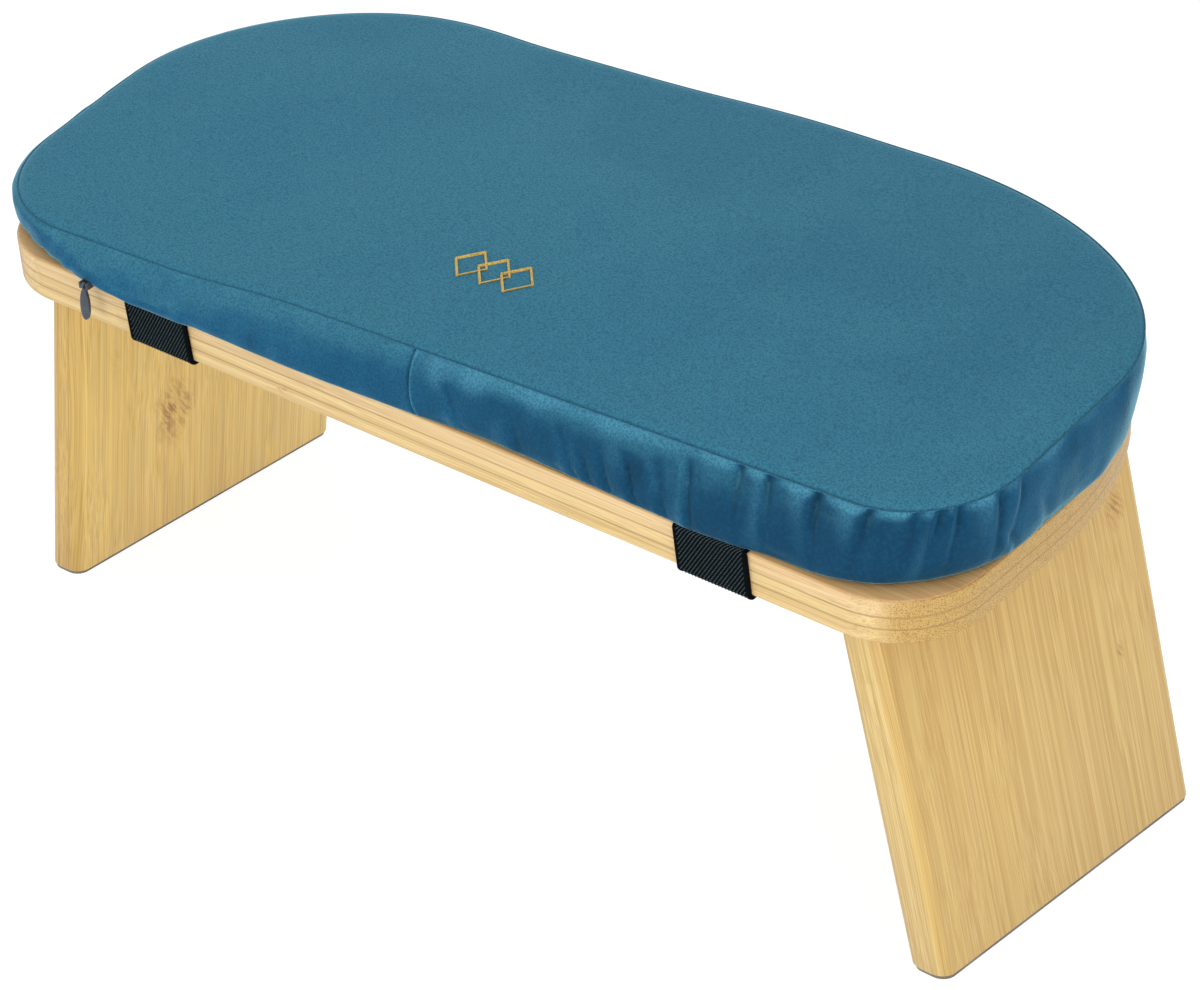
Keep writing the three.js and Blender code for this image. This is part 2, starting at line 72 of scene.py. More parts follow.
# Straps, and the slanting ribs woven on them
STRAP_WIDTH = 0.032
STRAP_THICKNESS = 0.0014
STRAP_BEND_RADIUS = 0.0026
STRAP_LEAN = 0.0012
STRAP_LIP = 0.0016
STRAP_END_RISE = 0.0006
STRAP_END_RUN = 0.0050
STRAP_END_THICKNESS = 0.0005
SELVEDGE_WIDTH = 0.0017
WEAVE_SINK = 0.0002
RIB_PITCH_ACROSS = 0.00145
RIB_PITCH_ALONG = 0.00103
RIB = {"Length": 0.00138, "Width": 0.00053, "Height": 0.00024, "Turn": math.radians(48)}

# Cushion: outlines at its upper seam and at its hem. Each corner has a radius along X and along Y.
SEAM_EDGE = {
    "left": 0.2310, "right": 0.2336, "front": 0.0920, "back": 0.0985,
    "front_left": (0.052, 0.048), "front_right": (0.041, 0.041),
    "back_left": (0.124, 0.095), "back_right": (0.144, 0.092)}
HEM_EDGE = {
    "left": 0.2318, "right": 0.2310, "front": 0.1008, "back": 0.0960,
    "front_left": (0.097, 0.057), "front_right": (0.055, 0.056),
    "back_left": (0.132, 0.098), "back_right": (0.147, 0.108)}
CUSHION_SHIFT = -0.006
CUSHION_TURN = math.radians(1)
BAND_HEIGHT = 0.0275
BAND_RISE_ALONG = 0.014 / 0.464
BAND_RISE_ACROSS = 0.0105 / 0.200
BAND_BULGE = 0.0023
LEFT_BULGE = 0.0015
RIGHT_BULGE = 0.0002
BAND_FULLNESS = 3.2
HEM_TUCK = 0.0009
HEM_TURN = 0.12
HEM_SPREAD = 0.0008
CROWN_HEIGHT = 0.0036
SEAM_LIP = 0.0013
SEAM_DEPTH = 0.0006
SLACK_DEPTH = 0.0037
JOIN_PLACE = (0.0008, 0.0066)
JOIN_HALF_WIDTH = 0.0006

# Bows of the cushion's seam at the back, of its front hem and of its back: depth, middle, half width
SEAM_BOWS = ((0.0010, -0.150, 0.050), (-0.0013, -0.030, 0.055))
HEM_BOWS = ((0.0016, -0.055, 0.045), (-0.0018, 0.040, 0.025), (0.0019, 0.122, 0.033))
BACK_BOWS = ((0.0018, 0.030, 0.045), (-0.0024, -0.100, 0.040))

# Spacing of the cover's points, closer together where it puckers and at its join
COARSE_STEP = 0.0017
FINE_STEP = 0.0005
JOIN_STEP = 0.0003
JOIN_BEFORE = 0.003
JOIN_AFTER = 0.010
PUCKER_START = 0.122
PUCKER_END = 0.262
EDGE_SAMPLES = 220

# Zip: coil and tape along the hem, from the slider round the left front corner
ZIP_START = 0.1480
ZIP_END = 0.310
ZIP_INSET = 0.0022
ZIP_TAPE_HALF_WIDTH = 0.0014
ZIP_TAPE_LIFT = 0.0001
ZIP_TAPE_HEIGHT = 0.0009
COIL_SHARE = 0.4

# Embroidery: a row of plain lozenges
MOTIF_PLACE = (-0.006, -0.045)
MOTIF_WIDTH = 0.0150
MOTIF_DEPTH = 0.0160
MOTIF_SPACING = 0.0110
MOTIF_COUNT = 3
MOTIF_STEPS = 8
THREAD_RADIUS = 0.00044

# Beads in a row: thread in the seam, the zip's coil and gold stitches
SEAM_STITCH = {"Spacing": 0.0030, "Length": 0.0024, "Radius": 0.00017, "Turn": 0.10}
COIL_STITCH = {"Spacing": 0.0011, "Length": 0.0016, "Radius": 0.0004, "Turn": 1.45}
GOLD_STITCH = {"Spacing": 0.00050, "Length": 0.0017, "Radius": THREAD_RADIUS * 0.8, "Turn": 0.85}
STITCH_SINK = 0.00012

# Steps of the round shapes
STRAIGHT_STEPS = 3
CORNER_STEPS = 28
SECTION_STEPS = 10
EASE_STEPS = 4
QUARTER = math.pi / 2


# Frames of the moving bodies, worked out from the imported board
def seat_place():
    """Origin on the middle of the board's underside, Z up through the board."""
    low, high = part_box("seat_board")
    turn = Matrix.Rotation(SEAT_SLOPE, 4, "X")
    return Matrix.Translation((low + high) / 2) @ turn @ Matrix.Translation((0, 0, -SEAT_THICKNESS / 2))


SEAT = seat_place()
CUSHION_MIDDLE = Matrix.Translation((CUSHION_SHIFT, 0, SEAT_THICKNESS))
CUSHION = SEAT @ CUSHION_MIDDLE @ Matrix.Rotation(CUSHION_TURN, 4, "Z")
AXIS_OFFSET = FIT_GAP + KNUCKLE_RADIUS
LEG_INNER_X = SEAT_LENGTH / 2 - LEG_END_INSET - LEG_THICKNESS / math.cos(LEG_SPLAY)
HINGE_X = LEG_INNER_X + AXIS_OFFSET * math.tan(LEG_SPLAY) - AXIS_OFFSET / math.cos(LEG_SPLAY)
LEG_MIDDLE_Y = -SEAT_DEPTH / 2 + LEG_FRONT_SETBACK + LEG_WIDTH / 2
SIDES = {"left": -1, "right": 1}


def strap_middle(side):
    """Where a strap's middle lies along the board."""
    low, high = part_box(f"strap_{side}")
    return (SEAT.inverted() @ ((low + high) / 2)).x


STRAP_MIDDLES = {side: strap_middle(side) for side in SIDES}


def leg_place(sign):
    """Origin on the hinge line, X outwards to the right, Z up along the leg."""
    axis = Matrix.Translation((sign * HINGE_X, 0, -AXIS_OFFSET))
    return SEAT @ axis @ Matrix.Rotation(-sign * LEG_SPLAY, 4, "Y")


# Meshes
def piece(name, points, faces, material, place, body, slot, sharp_angle=32):
    """A finished mesh at the origin, smooth but for its sharp edges, riding on a body."""
    mesh = bpy.data.meshes.new(name)
    mesh.from_pydata([tuple(p) for p in points], [], [tuple(f) for f in faces])
    mesh.transform(place)
    return finished(name, mesh, material, body, slot, sharp_angle)


def finished(name, mesh, material, body, slot, sharp_angle):
    mesh.validate()
    mesh.materials.clear()
    mesh.materials.append(material)
    mesh.shade_smooth()
    mesh.set_sharp_from_angle(angle=math.radians(sharp_angle))
    obj = linked(name, mesh)
    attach(obj, body)
    return obj


def linked(name, data):
    obj = bpy.data.objects.new(name, data)
    bpy.context.scene.collection.objects.link(obj)
    return obj


def loft(rings):
    """Points and faces through rings of equal count, low ring first, both ends closed by a middle point."""
    count = len(rings[0])
    points = [np.mean(rings[0], axis=0)]
    for ring in rings:
        points.extend(ring)
    points.append(np.mean(rings[-1], axis=0))
    faces = []
    last = len(points) - 1
    top = 1 + (len(rings) - 1) * count
    for k in range(count):
        after = (k + 1) % count
        faces.append((0, 1 + after, 1 + k))
        faces.append((last, top + k, top + after))
        for low in range(1, top, count):
            high = low + count
            faces.append((low + k, low + after, high + after, high + k))
    return points, faces


# Sides of the corners, counterclockwise from the front right one
CORNERS = ((1, -1), (1, 1), (-1, 1), (-1, -1))


def on_corner(quarter, share, edge_x, edge_y, radius_x, radius_y):
    """A point on a round corner, a share of the way round it."""
    side_x, side_y = CORNERS[quarter]
    angle = QUARTER * (quarter - 1 + share)
    x = edge_x + radius_x * (np.cos(angle) - side_x)
    return x, edge_y + radius_y * (np.sin(angle) - side_y)


# Materials
def tone(code):
    """A colour written as on screen, as linear light."""
    values = [int(code[k:k + 2], 16) / 255 for k in (1, 3, 5)]
    return tuple(v / 12.92 if v <= 0.04045 else ((v + 0.055) / 1.055) ** 2.4 for v in values) + (1.0,)


class Nodes:
    """A short way to add and join the nodes of one tree."""

    def __init__(self, tree):
        self.tree = tree

    def put(self, value, socket):
        """Joins another node's output to a socket, or sets the socket; a colour is written as on screen."""
        if isinstance(value, bpy.types.NodeSocket):
            self.tree.links.new(value, socket)
        elif isinstance(value, str) and value.startswith("#"):
            socket.default_value = tone(value)
        else:
            socket.default_value = value

    def add(self, kind, inputs=None, **settings):
        made = self.tree.nodes.new(kind)
        for key, value in settings.items():
            setattr(made, key, value)
        for key, value in (inputs or {}).items():
            self.put(value, made.inputs[key])
        return made

    def math(self, operation, a, b=0.0):
        return self.add("ShaderNodeMath", {0: a, 1: b}, operation=operation).outputs[0]

    def plus(self, a, b):
        return self.math("ADD", a, b)

    def minus(self, a, b):
        return self.math("SUBTRACT", a, b)

    def times(self, a, b):
        return self.math("MULTIPLY", a, b)

    def vector(self, operation, a, b):
        return self.add("ShaderNodeVectorMath", {0: a, 1: b}, operation=operation).outputs[0]

    def combined(self, x, y, z):
        return self.add("ShaderNodeCombineXYZ", {0: x, 1: y, 2: z}).outputs[0]

    def split(self, value):
        return self.add("ShaderNodeSeparateXYZ", {0: value}).outputs

    def noise(self, place, scale, detail=2.0, roughness=0.5, distortion=0.0):
        """Noise of one scale, or of its own scale along each axis."""
        if isinstance(scale, tuple):
            place = self.vector("MULTIPLY", place, scale)
            scale = 1.0
        made = self.add("ShaderNodeTexNoise", {
            "Vector": place, "Scale": scale, "Detail": detail, "Roughness": roughness,
            "Distortion": distortion})
        return made.outputs["Fac"]

    def spread(self, value, low, high, to_low=0.0, to_high=1.0):
        made = self.add("ShaderNodeMapRange", {
            "Value": value, "From Min": low, "From Max": high, "To Min": to_low, "To Max": to_high},
            interpolation_type="SMOOTHSTEP")
        return made.outputs["Result"]

    def mix(self, share, a, b, blend="MIX"):
        made = self.add("ShaderNodeMix", data_type="RGBA", blend_type=blend)
        sockets = {s.identifier: s for s in made.inputs}
        for key, value in (("Factor_Float", share), ("A_Color", a), ("B_Color", b)):
            self.put(value, sockets[key])
        return next(s for s in made.outputs if s.identifier == "Result_Color")

    def layers(self, base, *coats):
        """A colour with others laid over it in turn, each by its share."""
        for share, color in coats:
            base = self.mix(share, base, color)
        return base

    def group(self, tree, inputs):
        return self.add("ShaderNodeGroup", inputs, node_tree=tree).outputs


def new_sockets(tree, inputs, direction="INPUT"):
    for label, kind in inputs:
        tree.interface.new_socket(name=label, in_out=direction, socket_type="NodeSocket" + kind)


def group(name, inputs, outputs):
    """A new shader group: its tree, its nodes, its inputs, and a function that joins an output."""
    tree = bpy.data.node_groups.new(name, "ShaderNodeTree")
    new_sockets(tree, inputs)
    new_sockets(tree, outputs, "OUTPUT")
    nodes = Nodes(tree)
    given = nodes.add("NodeGroupInput").outputs
    end = nodes.add("NodeGroupOutput").inputs

    def give(label, socket):
        tree.links.new(socket, end[label])

    return tree, nodes, given, give


def bamboo_group():
    """Strips of bamboo along X, laid in three plies through Z."""
    tree, n, given, give = group("bamboo grain", [
        ("Place", "Vector"), ("Strip Width", "Float"), ("Low Line", "Float"), ("High Line", "Float"),
        ("Line Strength", "Float"), ("Cast", "Color"), ("Cast Share", "Float"),
        ("Upper Ply Share", "Float"), ("End", "Float"), ("Seed", "Float"),
    ], [("Color", "Color"), ("Roughness", "Float"), ("Height", "Float")])
    place, width, low, high = given["Place"], given["Strip Width"], given["Low Line"], given["High Line"]
    _, across, through = n.split(place)
    above_high = n.math("GREATER_THAN", through, high)
    ply = n.plus(n.math("GREATER_THAN", through, low), above_high)
    strip_place = n.plus(n.math("DIVIDE", n.plus(across, n.times(ply, 0.0073)), width), 0.37)
    within = n.math("FRACT", strip_place)
    edge = n.math("MINIMUM", within, n.minus(1.0, within))
    label = n.plus(n.plus(n.math("FLOOR", strip_place), n.times(ply, 13.7)), given["Seed"])
    tint, other = [
        n.add("ShaderNodeTexWhiteNoise", {"W": w}, noise_dimensions="1D").outputs["Value"]
        for w in (label, n.plus(label, 5.3))]

    sideways = n.times(n.minus(n.noise(place, (7.0, 25.0, 25.0), 1.0), 0.5), 0.006)
    shift = n.combined(n.times(tint, 3.0), label, 0.0)
    moved = n.vector("ADD", n.vector("ADD", place, shift), n.combined(0.0, sideways, sideways))
    fine = n.noise(moved, (4.0, 2100.0, 2100.0), 3.0, 0.6)
    fibre = n.noise(moved, (5.0, 3000.0, 3000.0), 1.0)
    middle = n.noise(moved, (2.2, 420.0, 420.0), 3.0, 0.6)
    broad = n.noise(moved, (3.0, 45.0, 45.0))
    cloud = n.noise(moved, (9.0, 22.0, 22.0))
    streak = n.spread(fine, 0.44, 0.57)
    vein = n.spread(middle, 0.40, 0.58)

    gaps = [n.math("ABSOLUTE", n.minus(through, line)) for line in (low, high)]
    ply_line = n.spread(n.math("MINIMUM", *gaps), 0.00006, 0.00062, 1.0, 0.0)
    strip_line = n.spread(n.times(edge, width), 0.00004, 0.00022, 1.0, 0.0)
    dots = n.add("ShaderNodeTexVoronoi", {
        "Vector": n.vector("MULTIPLY", place, (1700.0, 1950.0, 1950.0)), "Scale": 1.0}).outputs["Distance"]
    dot_field = n.noise(place, (160.0, 260.0, 260.0))
    dot_mask = n.times(n.spread(dots, 0.26, 0.50, 1.0, 0.0), n.spread(dot_field, 0.18, 0.40))
    dot_mask = n.times(dot_mask, given["End"])

    give("Color", n.layers(
        "#d5af66",
        (vein, "#e6c87f"),
        (n.spread(broad, 0.35, 0.7, 0.0, 0.36), "#d8ac62"),
        (n.spread(cloud, 0.42, 0.72, 0.0, 0.30), "#ebc793"),
        (n.times(tint, 0.38), "#efd398"),
        (n.times(other, 0.24), "#d5a25a"),
        (given["Cast Share"], given["Cast"]),
        (n.times(above_high, given["Upper Ply Share"]), "#eecba2"),
        (n.times(streak, 0.32), "#f6dfa4"),
        (n.spread(fibre, 0.50, 0.60, 0.0, 0.40), "#b98f4a"),
        (n.spread(vein, 0.0, 1.0, 0.16, 0.0), "#a97c3a"),
        (n.times(given["End"], 0.92), "#c8a258"),
        (n.times(dot_mask, 0.85), "#94692a"),
        (n.times(strip_line, 0.20), "#a97f47"),
        (n.times(ply_line, given["Line Strength"]), "#9f7640")))
    give("Roughness", n.spread(streak, 0.0, 1.0, 0.52, 0.42))
    height = n.minus(n.plus(n.times(streak, 0.5), n.times(vein, 0.5)), n.times(dot_mask, 0.8))
    give("Height", n.minus(height, n.times(n.plus(ply_line, strip_line), 1.2)))
    return tree


def knot_group():
    """The flecked brown mark where a bamboo stem had a joint."""
    tree, n, given, give = group("bamboo knot", [
        ("Color", "Color"), ("Place", "Vector"), ("Middle", "Vector"), ("Reach", "Vector"),
        ("Strength", "Float"),
    ], [("Color", "Color")])
    strength = given["Strength"]
    gap = n.vector("SUBTRACT", given["Place"], given["Middle"])
    share = n.vector("DIVIDE", gap, given["Reach"])
    distance = n.add("ShaderNodeVectorMath", {0: share}, operation="LENGTH").outputs["Value"]
    bent = n.noise(gap, (90.0, 140.0, 140.0), 2.0, 0.6)
    slanted = n.add("ShaderNodeMapping", {"Vector": gap, "Rotation": (0.0, 0.0, 0.55)}).outputs[0]
    flecks = n.noise(slanted, (120.0, 900.0, 900.0), 1.0, 0.6, 0.2)
    near = n.times(n.spread(n.plus(distance, n.minus(bent, 0.5)), 0.15, 1.0, 1.0, 0.0), strength)
    core = n.spread(distance, 0.0, 0.55, 1.0, 0.0)
    give("Color", n.layers(
        given["Color"],
        (n.times(near, 0.38), "#c08a48"),
        (n.times(n.spread(flecks, 0.44, 0.57), near), n.mix(core, "#a06c30", "#875524"))))
    return tree


BAMBOO_GRAIN = bamboo_group()
BAMBOO_KNOT = knot_group()


def local_place(nodes, place):
    """Object coordinates and normals seen from a turned place, each by one Mapping node."""
    coordinates = nodes.add("ShaderNodeTexCoord").outputs
    location, turn, _ = place.decompose()
    made = []
    for key, origin in (("Object", location), ("Normal", (0.0, 0.0, 0.0))):
        made.append(nodes.add("ShaderNodeMapping", {
            "Vector": coordinates[key], "Location": origin, "Rotation": turn.to_euler()},
            vector_type="TEXTURE").outputs[0])
    return made


def new_material(name):
    """The nodes of a new material, and a function that sets its shader and bumps it by a height."""
    material = bpy.data.materials.new(name)
    material.use_nodes = True
    nodes = Nodes(material.node_tree)
    principled = next(x for x in material.node_tree.nodes if x.type == "BSDF_PRINCIPLED")

    def dressed(height, distance, strength=0.8, **shader):
        bump = nodes.add("ShaderNodeBump", {"Height": height, "Distance": distance, "Strength": strength})
        for key, value in {**shader, "Normal": bump.outputs[0]}.items():
            nodes.put(value, principled.inputs[key.replace("_", " ")])
        return material

    return nodes, dressed


def bamboo_material(name, place, grain_axes, glue_lines, strip_width, seed, knots, line_strength, cast, face):
    """Bamboo with its grain along one axis of a turned place, its own knots, and painted shade: faces along
    one axis take a darker tone.
    """
    cast_tone, cast_share, upper_share = cast
    face_axis, face_shade_tone, face_shade_share = face
    n, dressed = new_material(name)
    local, normal = local_place(n, place)
    split = n.split(local)
    facing = n.split(normal)
    grain = n.combined(*[split[axis] for axis in grain_axes])
    wood = n.group(BAMBOO_GRAIN, {
        "Place": grain, "Strip Width": strip_width, "Low Line": glue_lines[0], "High Line": glue_lines[1],
        "Line Strength": line_strength, "Cast": cast_tone, "Cast Share": cast_share,
        "Upper Ply Share": upper_share, "Seed": seed,
        "End": n.spread(n.math("ABSOLUTE", facing[grain_axes[0]]), 0.30, 0.62)})
    # Painted shade: faces along the face axis are darkened by the face tone.
    turned = n.spread(n.math("ABSOLUTE", facing[face_axis]), 0.30, 0.65, 0.0, face_shade_share)
    color = n.mix(turned, wood["Color"], face_shade_tone, "MULTIPLY")
    for middle, reach, strength in knots:
        color = n.group(BAMBOO_KNOT, {
            "Color": color, "Place": grain, "Middle": middle, "Reach": reach, "Strength": strength})["Color"]
    return dressed(
        wood["Height"], 0.00008, Base_Color=color, Roughness=wood["Roughness"], Coat_Weight=0.12,
        Coat_Roughness=0.35)


def velvet_group():
    """Short pile, its light and shade painted into its colour: painted light where it faces up, painted shade
    down the folds, painted highlights on ridges, and painted sheen towards the left and on the ends.
    """
    tree, n, given, give = group("velvet pile", [
        ("Place", "Vector"), ("Facing Up", "Float"), ("Facing End", "Float"), ("Painted Shade And Highlight", "Float"),
        ("Top", "Color"), ("Side", "Color"), ("Deep", "Color"), ("Painted Highlight", "Color"),
    ], [("Color", "Color"), ("Height", "Float")])
    place, fold, deep = given["Place"], given["Painted Shade And Highlight"], given["Deep"]
    along, across, _ = n.split(place)
    brushed = n.noise(place, 18.0, 3.0, 0.5, 0.4)
    streaked = n.noise(place, (60.0, 60.0, 25.0), 3.0, 0.55, 0.3)
    speckle = n.noise(place, 1300.0, 2.0, 0.7)
    clump = n.noise(place, 620.0, 2.0, 0.6)
    # Painted sheen: the sides are lighter towards the left and on the ends.
    left = n.spread(n.plus(along, n.times(n.minus(streaked, 0.5), 0.20)), -0.16, 0.20, 0.92, 0.08)
    end = n.spread(given["Facing End"], 0.80, 1.0, 0.0, 0.50)
    side = n.layers(
        deep,
        (n.math("MAXIMUM", left, end), given["Side"]),
        # Painted shade in the creases, where the shade value is below zero.
        (n.spread(fold, -1.0, 0.0, 0.80, 0.0), "#08283a"))
    sweep = n.plus(across, n.times(along, 0.35))
    sweep = n.plus(sweep, n.times(n.minus(brushed, 0.5), 0.30))
    top = n.layers(
        given["Top"],
        (n.spread(sweep, -0.01, 0.13, 0.0, 0.17), deep),
        (n.spread(brushed, 0.42, 0.70, 0.0, 0.16), given["Side"]))
    # Painted light: where the cover faces up it takes the lighter top colour.
    painted_top_light = n.spread(given["Facing Up"], 0.34, 0.80)
    clump_share = n.times(n.spread(clump, 0.44, 0.70), n.spread(painted_top_light, 0.0, 1.0, 0.16, 0.36))
    give("Color", n.layers(
        side,
        (painted_top_light, top),
        # Painted highlight on ridges, along the shoulder and at the join, where the shade value is above
        # zero.
        (n.spread(fold, 0.0, 1.3, 0.0, 0.66), given["Painted Highlight"]),
        (n.spread(speckle, 0.43, 0.60, 0.0, 0.46), deep),
        (clump_share, n.mix(painted_top_light, given["Side"], given["Top"]))))
    give("Height", n.plus(n.times(speckle, 0.6), n.times(clump, 0.4)))
    return tree


def velvet_material():
    n, dressed = new_material("teal velvet")
    place, normal = local_place(n, CUSHION)
    facing = n.split(normal)
    pile = n.group(velvet_group(), {
        "Place": place, "Facing Up": facing[2], "Facing End": facing[0],
        # The fold attribute holds painted shade below zero and painted highlight above zero.
        "Painted Shade And Highlight": n.add("ShaderNodeAttribute", attribute_name="fold").outputs["Fac"],
        # The top colour and the two lighter side colours are painted light over the dark deep colour; the
        # lightest one is the painted highlight.
        "Top": "#3a788f", "Side": "#23658a", "Deep": "#0d3b58", "Painted Highlight": "#5298b4"})
    return dressed(
        pile["Height"], 0.00034, Base_Color=pile["Color"], Roughness=0.92, Sheen_Weight=1.0,
        Sheen_Roughness=0.30, Sheen_Tint="#a8e4f4", Specular_IOR_Level=0.12)


def thread_material(name, dark, light, roughness, metallic=0.0, sheen=0.0, gloss=0.5):
    """Twisted yarn, a little lighter here and there."""
    n, dressed = new_material(name)
    place = n.add("ShaderNodeTexCoord").outputs["Object"]
    tuft = n.noise(place, 2600.0, 2.0, 0.6)
    patch = n.noise(place, 420.0, 2.0, 0.6)
    color = n.layers(dark, (n.spread(tuft, 0.3, 0.7), light), (n.spread(patch, 0.45, 0.8, 0.0, 0.4), dark))
    return dressed(
        tuft, 0.00008, Base_Color=color, Metallic=metallic, Roughness=roughness, Sheen_Weight=sheen,
        Specular_IOR_Level=gloss)


def metal_material(name, dark, light, roughness, metallic=1.0):
    """Plated or painted metal with fine brushing and faint handling marks."""
    n, dressed = new_material(name)
    place = n.add("ShaderNodeTexCoord").outputs["Object"]
    brushed = n.noise(place, (2600.0, 90.0, 2600.0), 2.0, 0.6)
    handled = n.noise(place, 190.0, 3.0, 0.6)
    return dressed(
        brushed, 0.00003, 0.6, Metallic=metallic, Base_Color=n.mix(n.spread(handled, 0.35, 0.7), dark, light),
        Roughness=n.spread(handled, 0.3, 0.7, roughness - 0.03, roughness + 0.05))


# A mottled grey finish for the thin strip under each leg.
def grey_strip_material():
    n, dressed = new_material("grey foot strip")
    place = n.add("ShaderNodeTexCoord").outputs["Object"]
    grit = n.noise(place, 2200.0, 2.0, 0.7)
    worn = n.noise(place, 60.0)
    color = n.layers(
        "#77716c", (n.spread(worn, 0.35, 0.7), "#928c86"), (n.spread(grit, 0.45, 0.7, 0.0, 0.35), "#625d59"))
    return dressed(grit, 0.0001, Base_Color=color, Roughness=0.85)


# Knots: middle, reach and strength, in the frame of the grain
BOARD_KNOTS = (
    ((-0.068, -0.100, 0.0042), (0.010, 0.010, 0.0024), 0.35),
    ((-0.118, -0.100, 0.0140), (0.016, 0.010, 0.0020), 0.35),
    ((0.150, 0.100, 0.0050), (0.012, 0.010, 0.0030), 0.5),
    ((-0.060, 0.100, 0.0140), (0.010, 0.010, 0.0030), 0.45),
    ((0.020, 0.030, 0.0), (0.012, 0.006, 0.003), 0.5),
)
LEG_KNOTS = {
    "left": (
        ((-0.087, -0.038, 0.003), (0.024, 0.014, 0.012), 1.15),
        ((-0.128, -0.091, 0.010), (0.014, 0.006, 0.006), 0.85),
        ((-0.040, -0.070, 0.003), (0.024, 0.010, 0.010), 0.22),
    ),
    "right": (
        ((-0.028, 0.045, 0.020), (0.011, 0.0085, 0.012), 0.6),
        ((-0.083, 0.034, 0.020), (0.006, 0.003, 0.012), 0.45),
        ((-0.020, -0.090, 0.012), (0.008, 0.006, 0.006), 0.3),
    ),
}
# Tone laid over the wood, its share, and the share of the upper ply's own tone
BOARD_CAST = ("#ecdaa8", 0.30, 0.45)
# The legs' tones differ as painted light: the left leg's lighter, yellower tone stands in for light on its
# inner face, the right leg's darker tone for shade.
LEG_TONE_AND_PAINTED_LIGHT = {"left": ("#ffdc7a", 0.88, 0.0), "right": ("#d6c283", 0.52, 0.0)}
# Painted shade: axis of the faces that take a darker tone, that tone, and its share. On the board's top and
# underside it is painted shade with a browner tone of the top; on the left leg it darkens the front and back
# edges, on the right leg its inner and outer faces.
BOARD_FACE_SHADE = (2, "#e4c08e", 0.50)
LEG_FACE_SHADE = {"left": (1, "#d9cfbf", 0.9), "right": (0, "#f7edd5", 1.0)}

board_bamboo = bamboo_material(
    "board bamboo", SEAT, (0, 1, 2), SEAT_GLUE_LINES, 0.020, 3.0, BOARD_KNOTS, 0.60, BOARD_CAST, BOARD_FACE_SHADE)
leg_bamboo = {}
for side, sign in SIDES.items():
    inner = AXIS_OFFSET if sign > 0 else -AXIS_OFFSET - LEG_THICKNESS
    leg_bamboo[side] = bamboo_material(
        f"{side} leg bamboo", leg_place(sign), (2, 1, 0), [inner + line for line in LEG_GLUE_LINES], 0.019,
        21.0 + sign * 8, LEG_KNOTS[side], 0.28, LEG_TONE_AND_PAINTED_LIGHT[side], LEG_FACE_SHADE[side])
velvet = velvet_material()
seam_thread = thread_material("teal thread", "#123e55", "#1f5b78", 0.8, sheen=0.2)
gold_thread = thread_material("gold thread", "#a5812f", "#ecca73", 0.40, metallic=0.3)
black_yarn = thread_material("black yarn", "#1d2b30", "#45575d", 0.75, gloss=0.15)
black_core = thread_material("black elastic", "#030506", "#0a1012", 0.9, gloss=0.05)
zip_grey = metal_material("painted zip metal", "#3f4650", "#596170", 0.42, metallic=0.35)
zip_black = metal_material("black zip", "#101214", "#1d2022", 0.5, metallic=0.0)
steel = metal_material("plated steel", "#abaaa7", "#bfbeba", 0.32)
grey_strip_finish = grey_strip_material()


# Seat board: three plies pressed into one, with eased edges
def board_ring(inset, height):
    """The board's outline moved in, counterclockwise from its front edge."""
    half_x = SEAT_LENGTH / 2 - inset
    half_y = SEAT_DEPTH / 2 - inset
    front = (SEAT_FRONT_RADIUS - inset, SEAT_FRONT_RADIUS - inset)
    back = (SEAT_BACK_RADIUS_X - inset, SEAT_BACK_RADIUS_Y - inset)
    radii = (front, back, back, front)

    def on_board(quarter, share):
        side_x, side_y = CORNERS[quarter]
        x, y = on_corner(quarter, share, side_x * half_x, side_y * half_y, *radii[quarter])
        return np.array([x, y, height])

    points = []
    for quarter in range(4):
        start = on_board(quarter - 1, 1)
        end = on_board(quarter, 0)
        points += [start + (end - start) * k / STRAIGHT_STEPS for k in range(STRAIGHT_STEPS)]
        points += [on_board(quarter, k / CORNER_STEPS) for k in range(CORNER_STEPS)]
    return np.array(points)


def board_piece():
    ease = SEAT_EDGE_EASE
    eased = []
    for k in range(EASE_STEPS + 1):
        turn = QUARTER * k / EASE_STEPS
        eased.append((ease * (1 - math.sin(turn)), ease * (1 - math.cos(turn))))
    rings = [board_ring(6 * ease, 0.0)]
    rings += [board_ring(inset, height) for inset, height in eased]
    rings += [board_ring(inset, SEAT_THICKNESS - height) for height, inset in eased]
    rings.append(board_ring(6 * ease, SEAT_THICKNESS))
    board = piece("board", *loft(rings), board_bamboo, SEAT, "seat", "bamboo")
    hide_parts("seat_board")


# Legs: a rounded section run up to the board's underside and down to the floor
def height_on(matrix, x, y, level):
    """Height along a place's own Z at which points (x, y) reach a level in another frame."""
    row = matrix[2]
    return (level - row[0] * x - row[1] * y - row[3]) / row[2]


def leg_ring(sign, inset, to_frame, level, step):
    radius = LEG_EDGE_RADIUS - inset
    section = []
    for quarter, (side_x, side_y) in enumerate(CORNERS):
        edge_x = side_x * (LEG_THICKNESS / 2 - inset)
        edge_y = side_y * (LEG_WIDTH / 2 - inset)
        for k in range(SECTION_STEPS + 1):
            section.append(on_corner(quarter, k / SECTION_STEPS, edge_x, edge_y, radius, radius))
    x, y = np.array(section).T
    x = x + sign * (AXIS_OFFSET + LEG_THICKNESS / 2)
    y = y + LEG_MIDDLE_Y
    return np.column_stack([x, y, height_on(to_frame, x, y, level) + step])


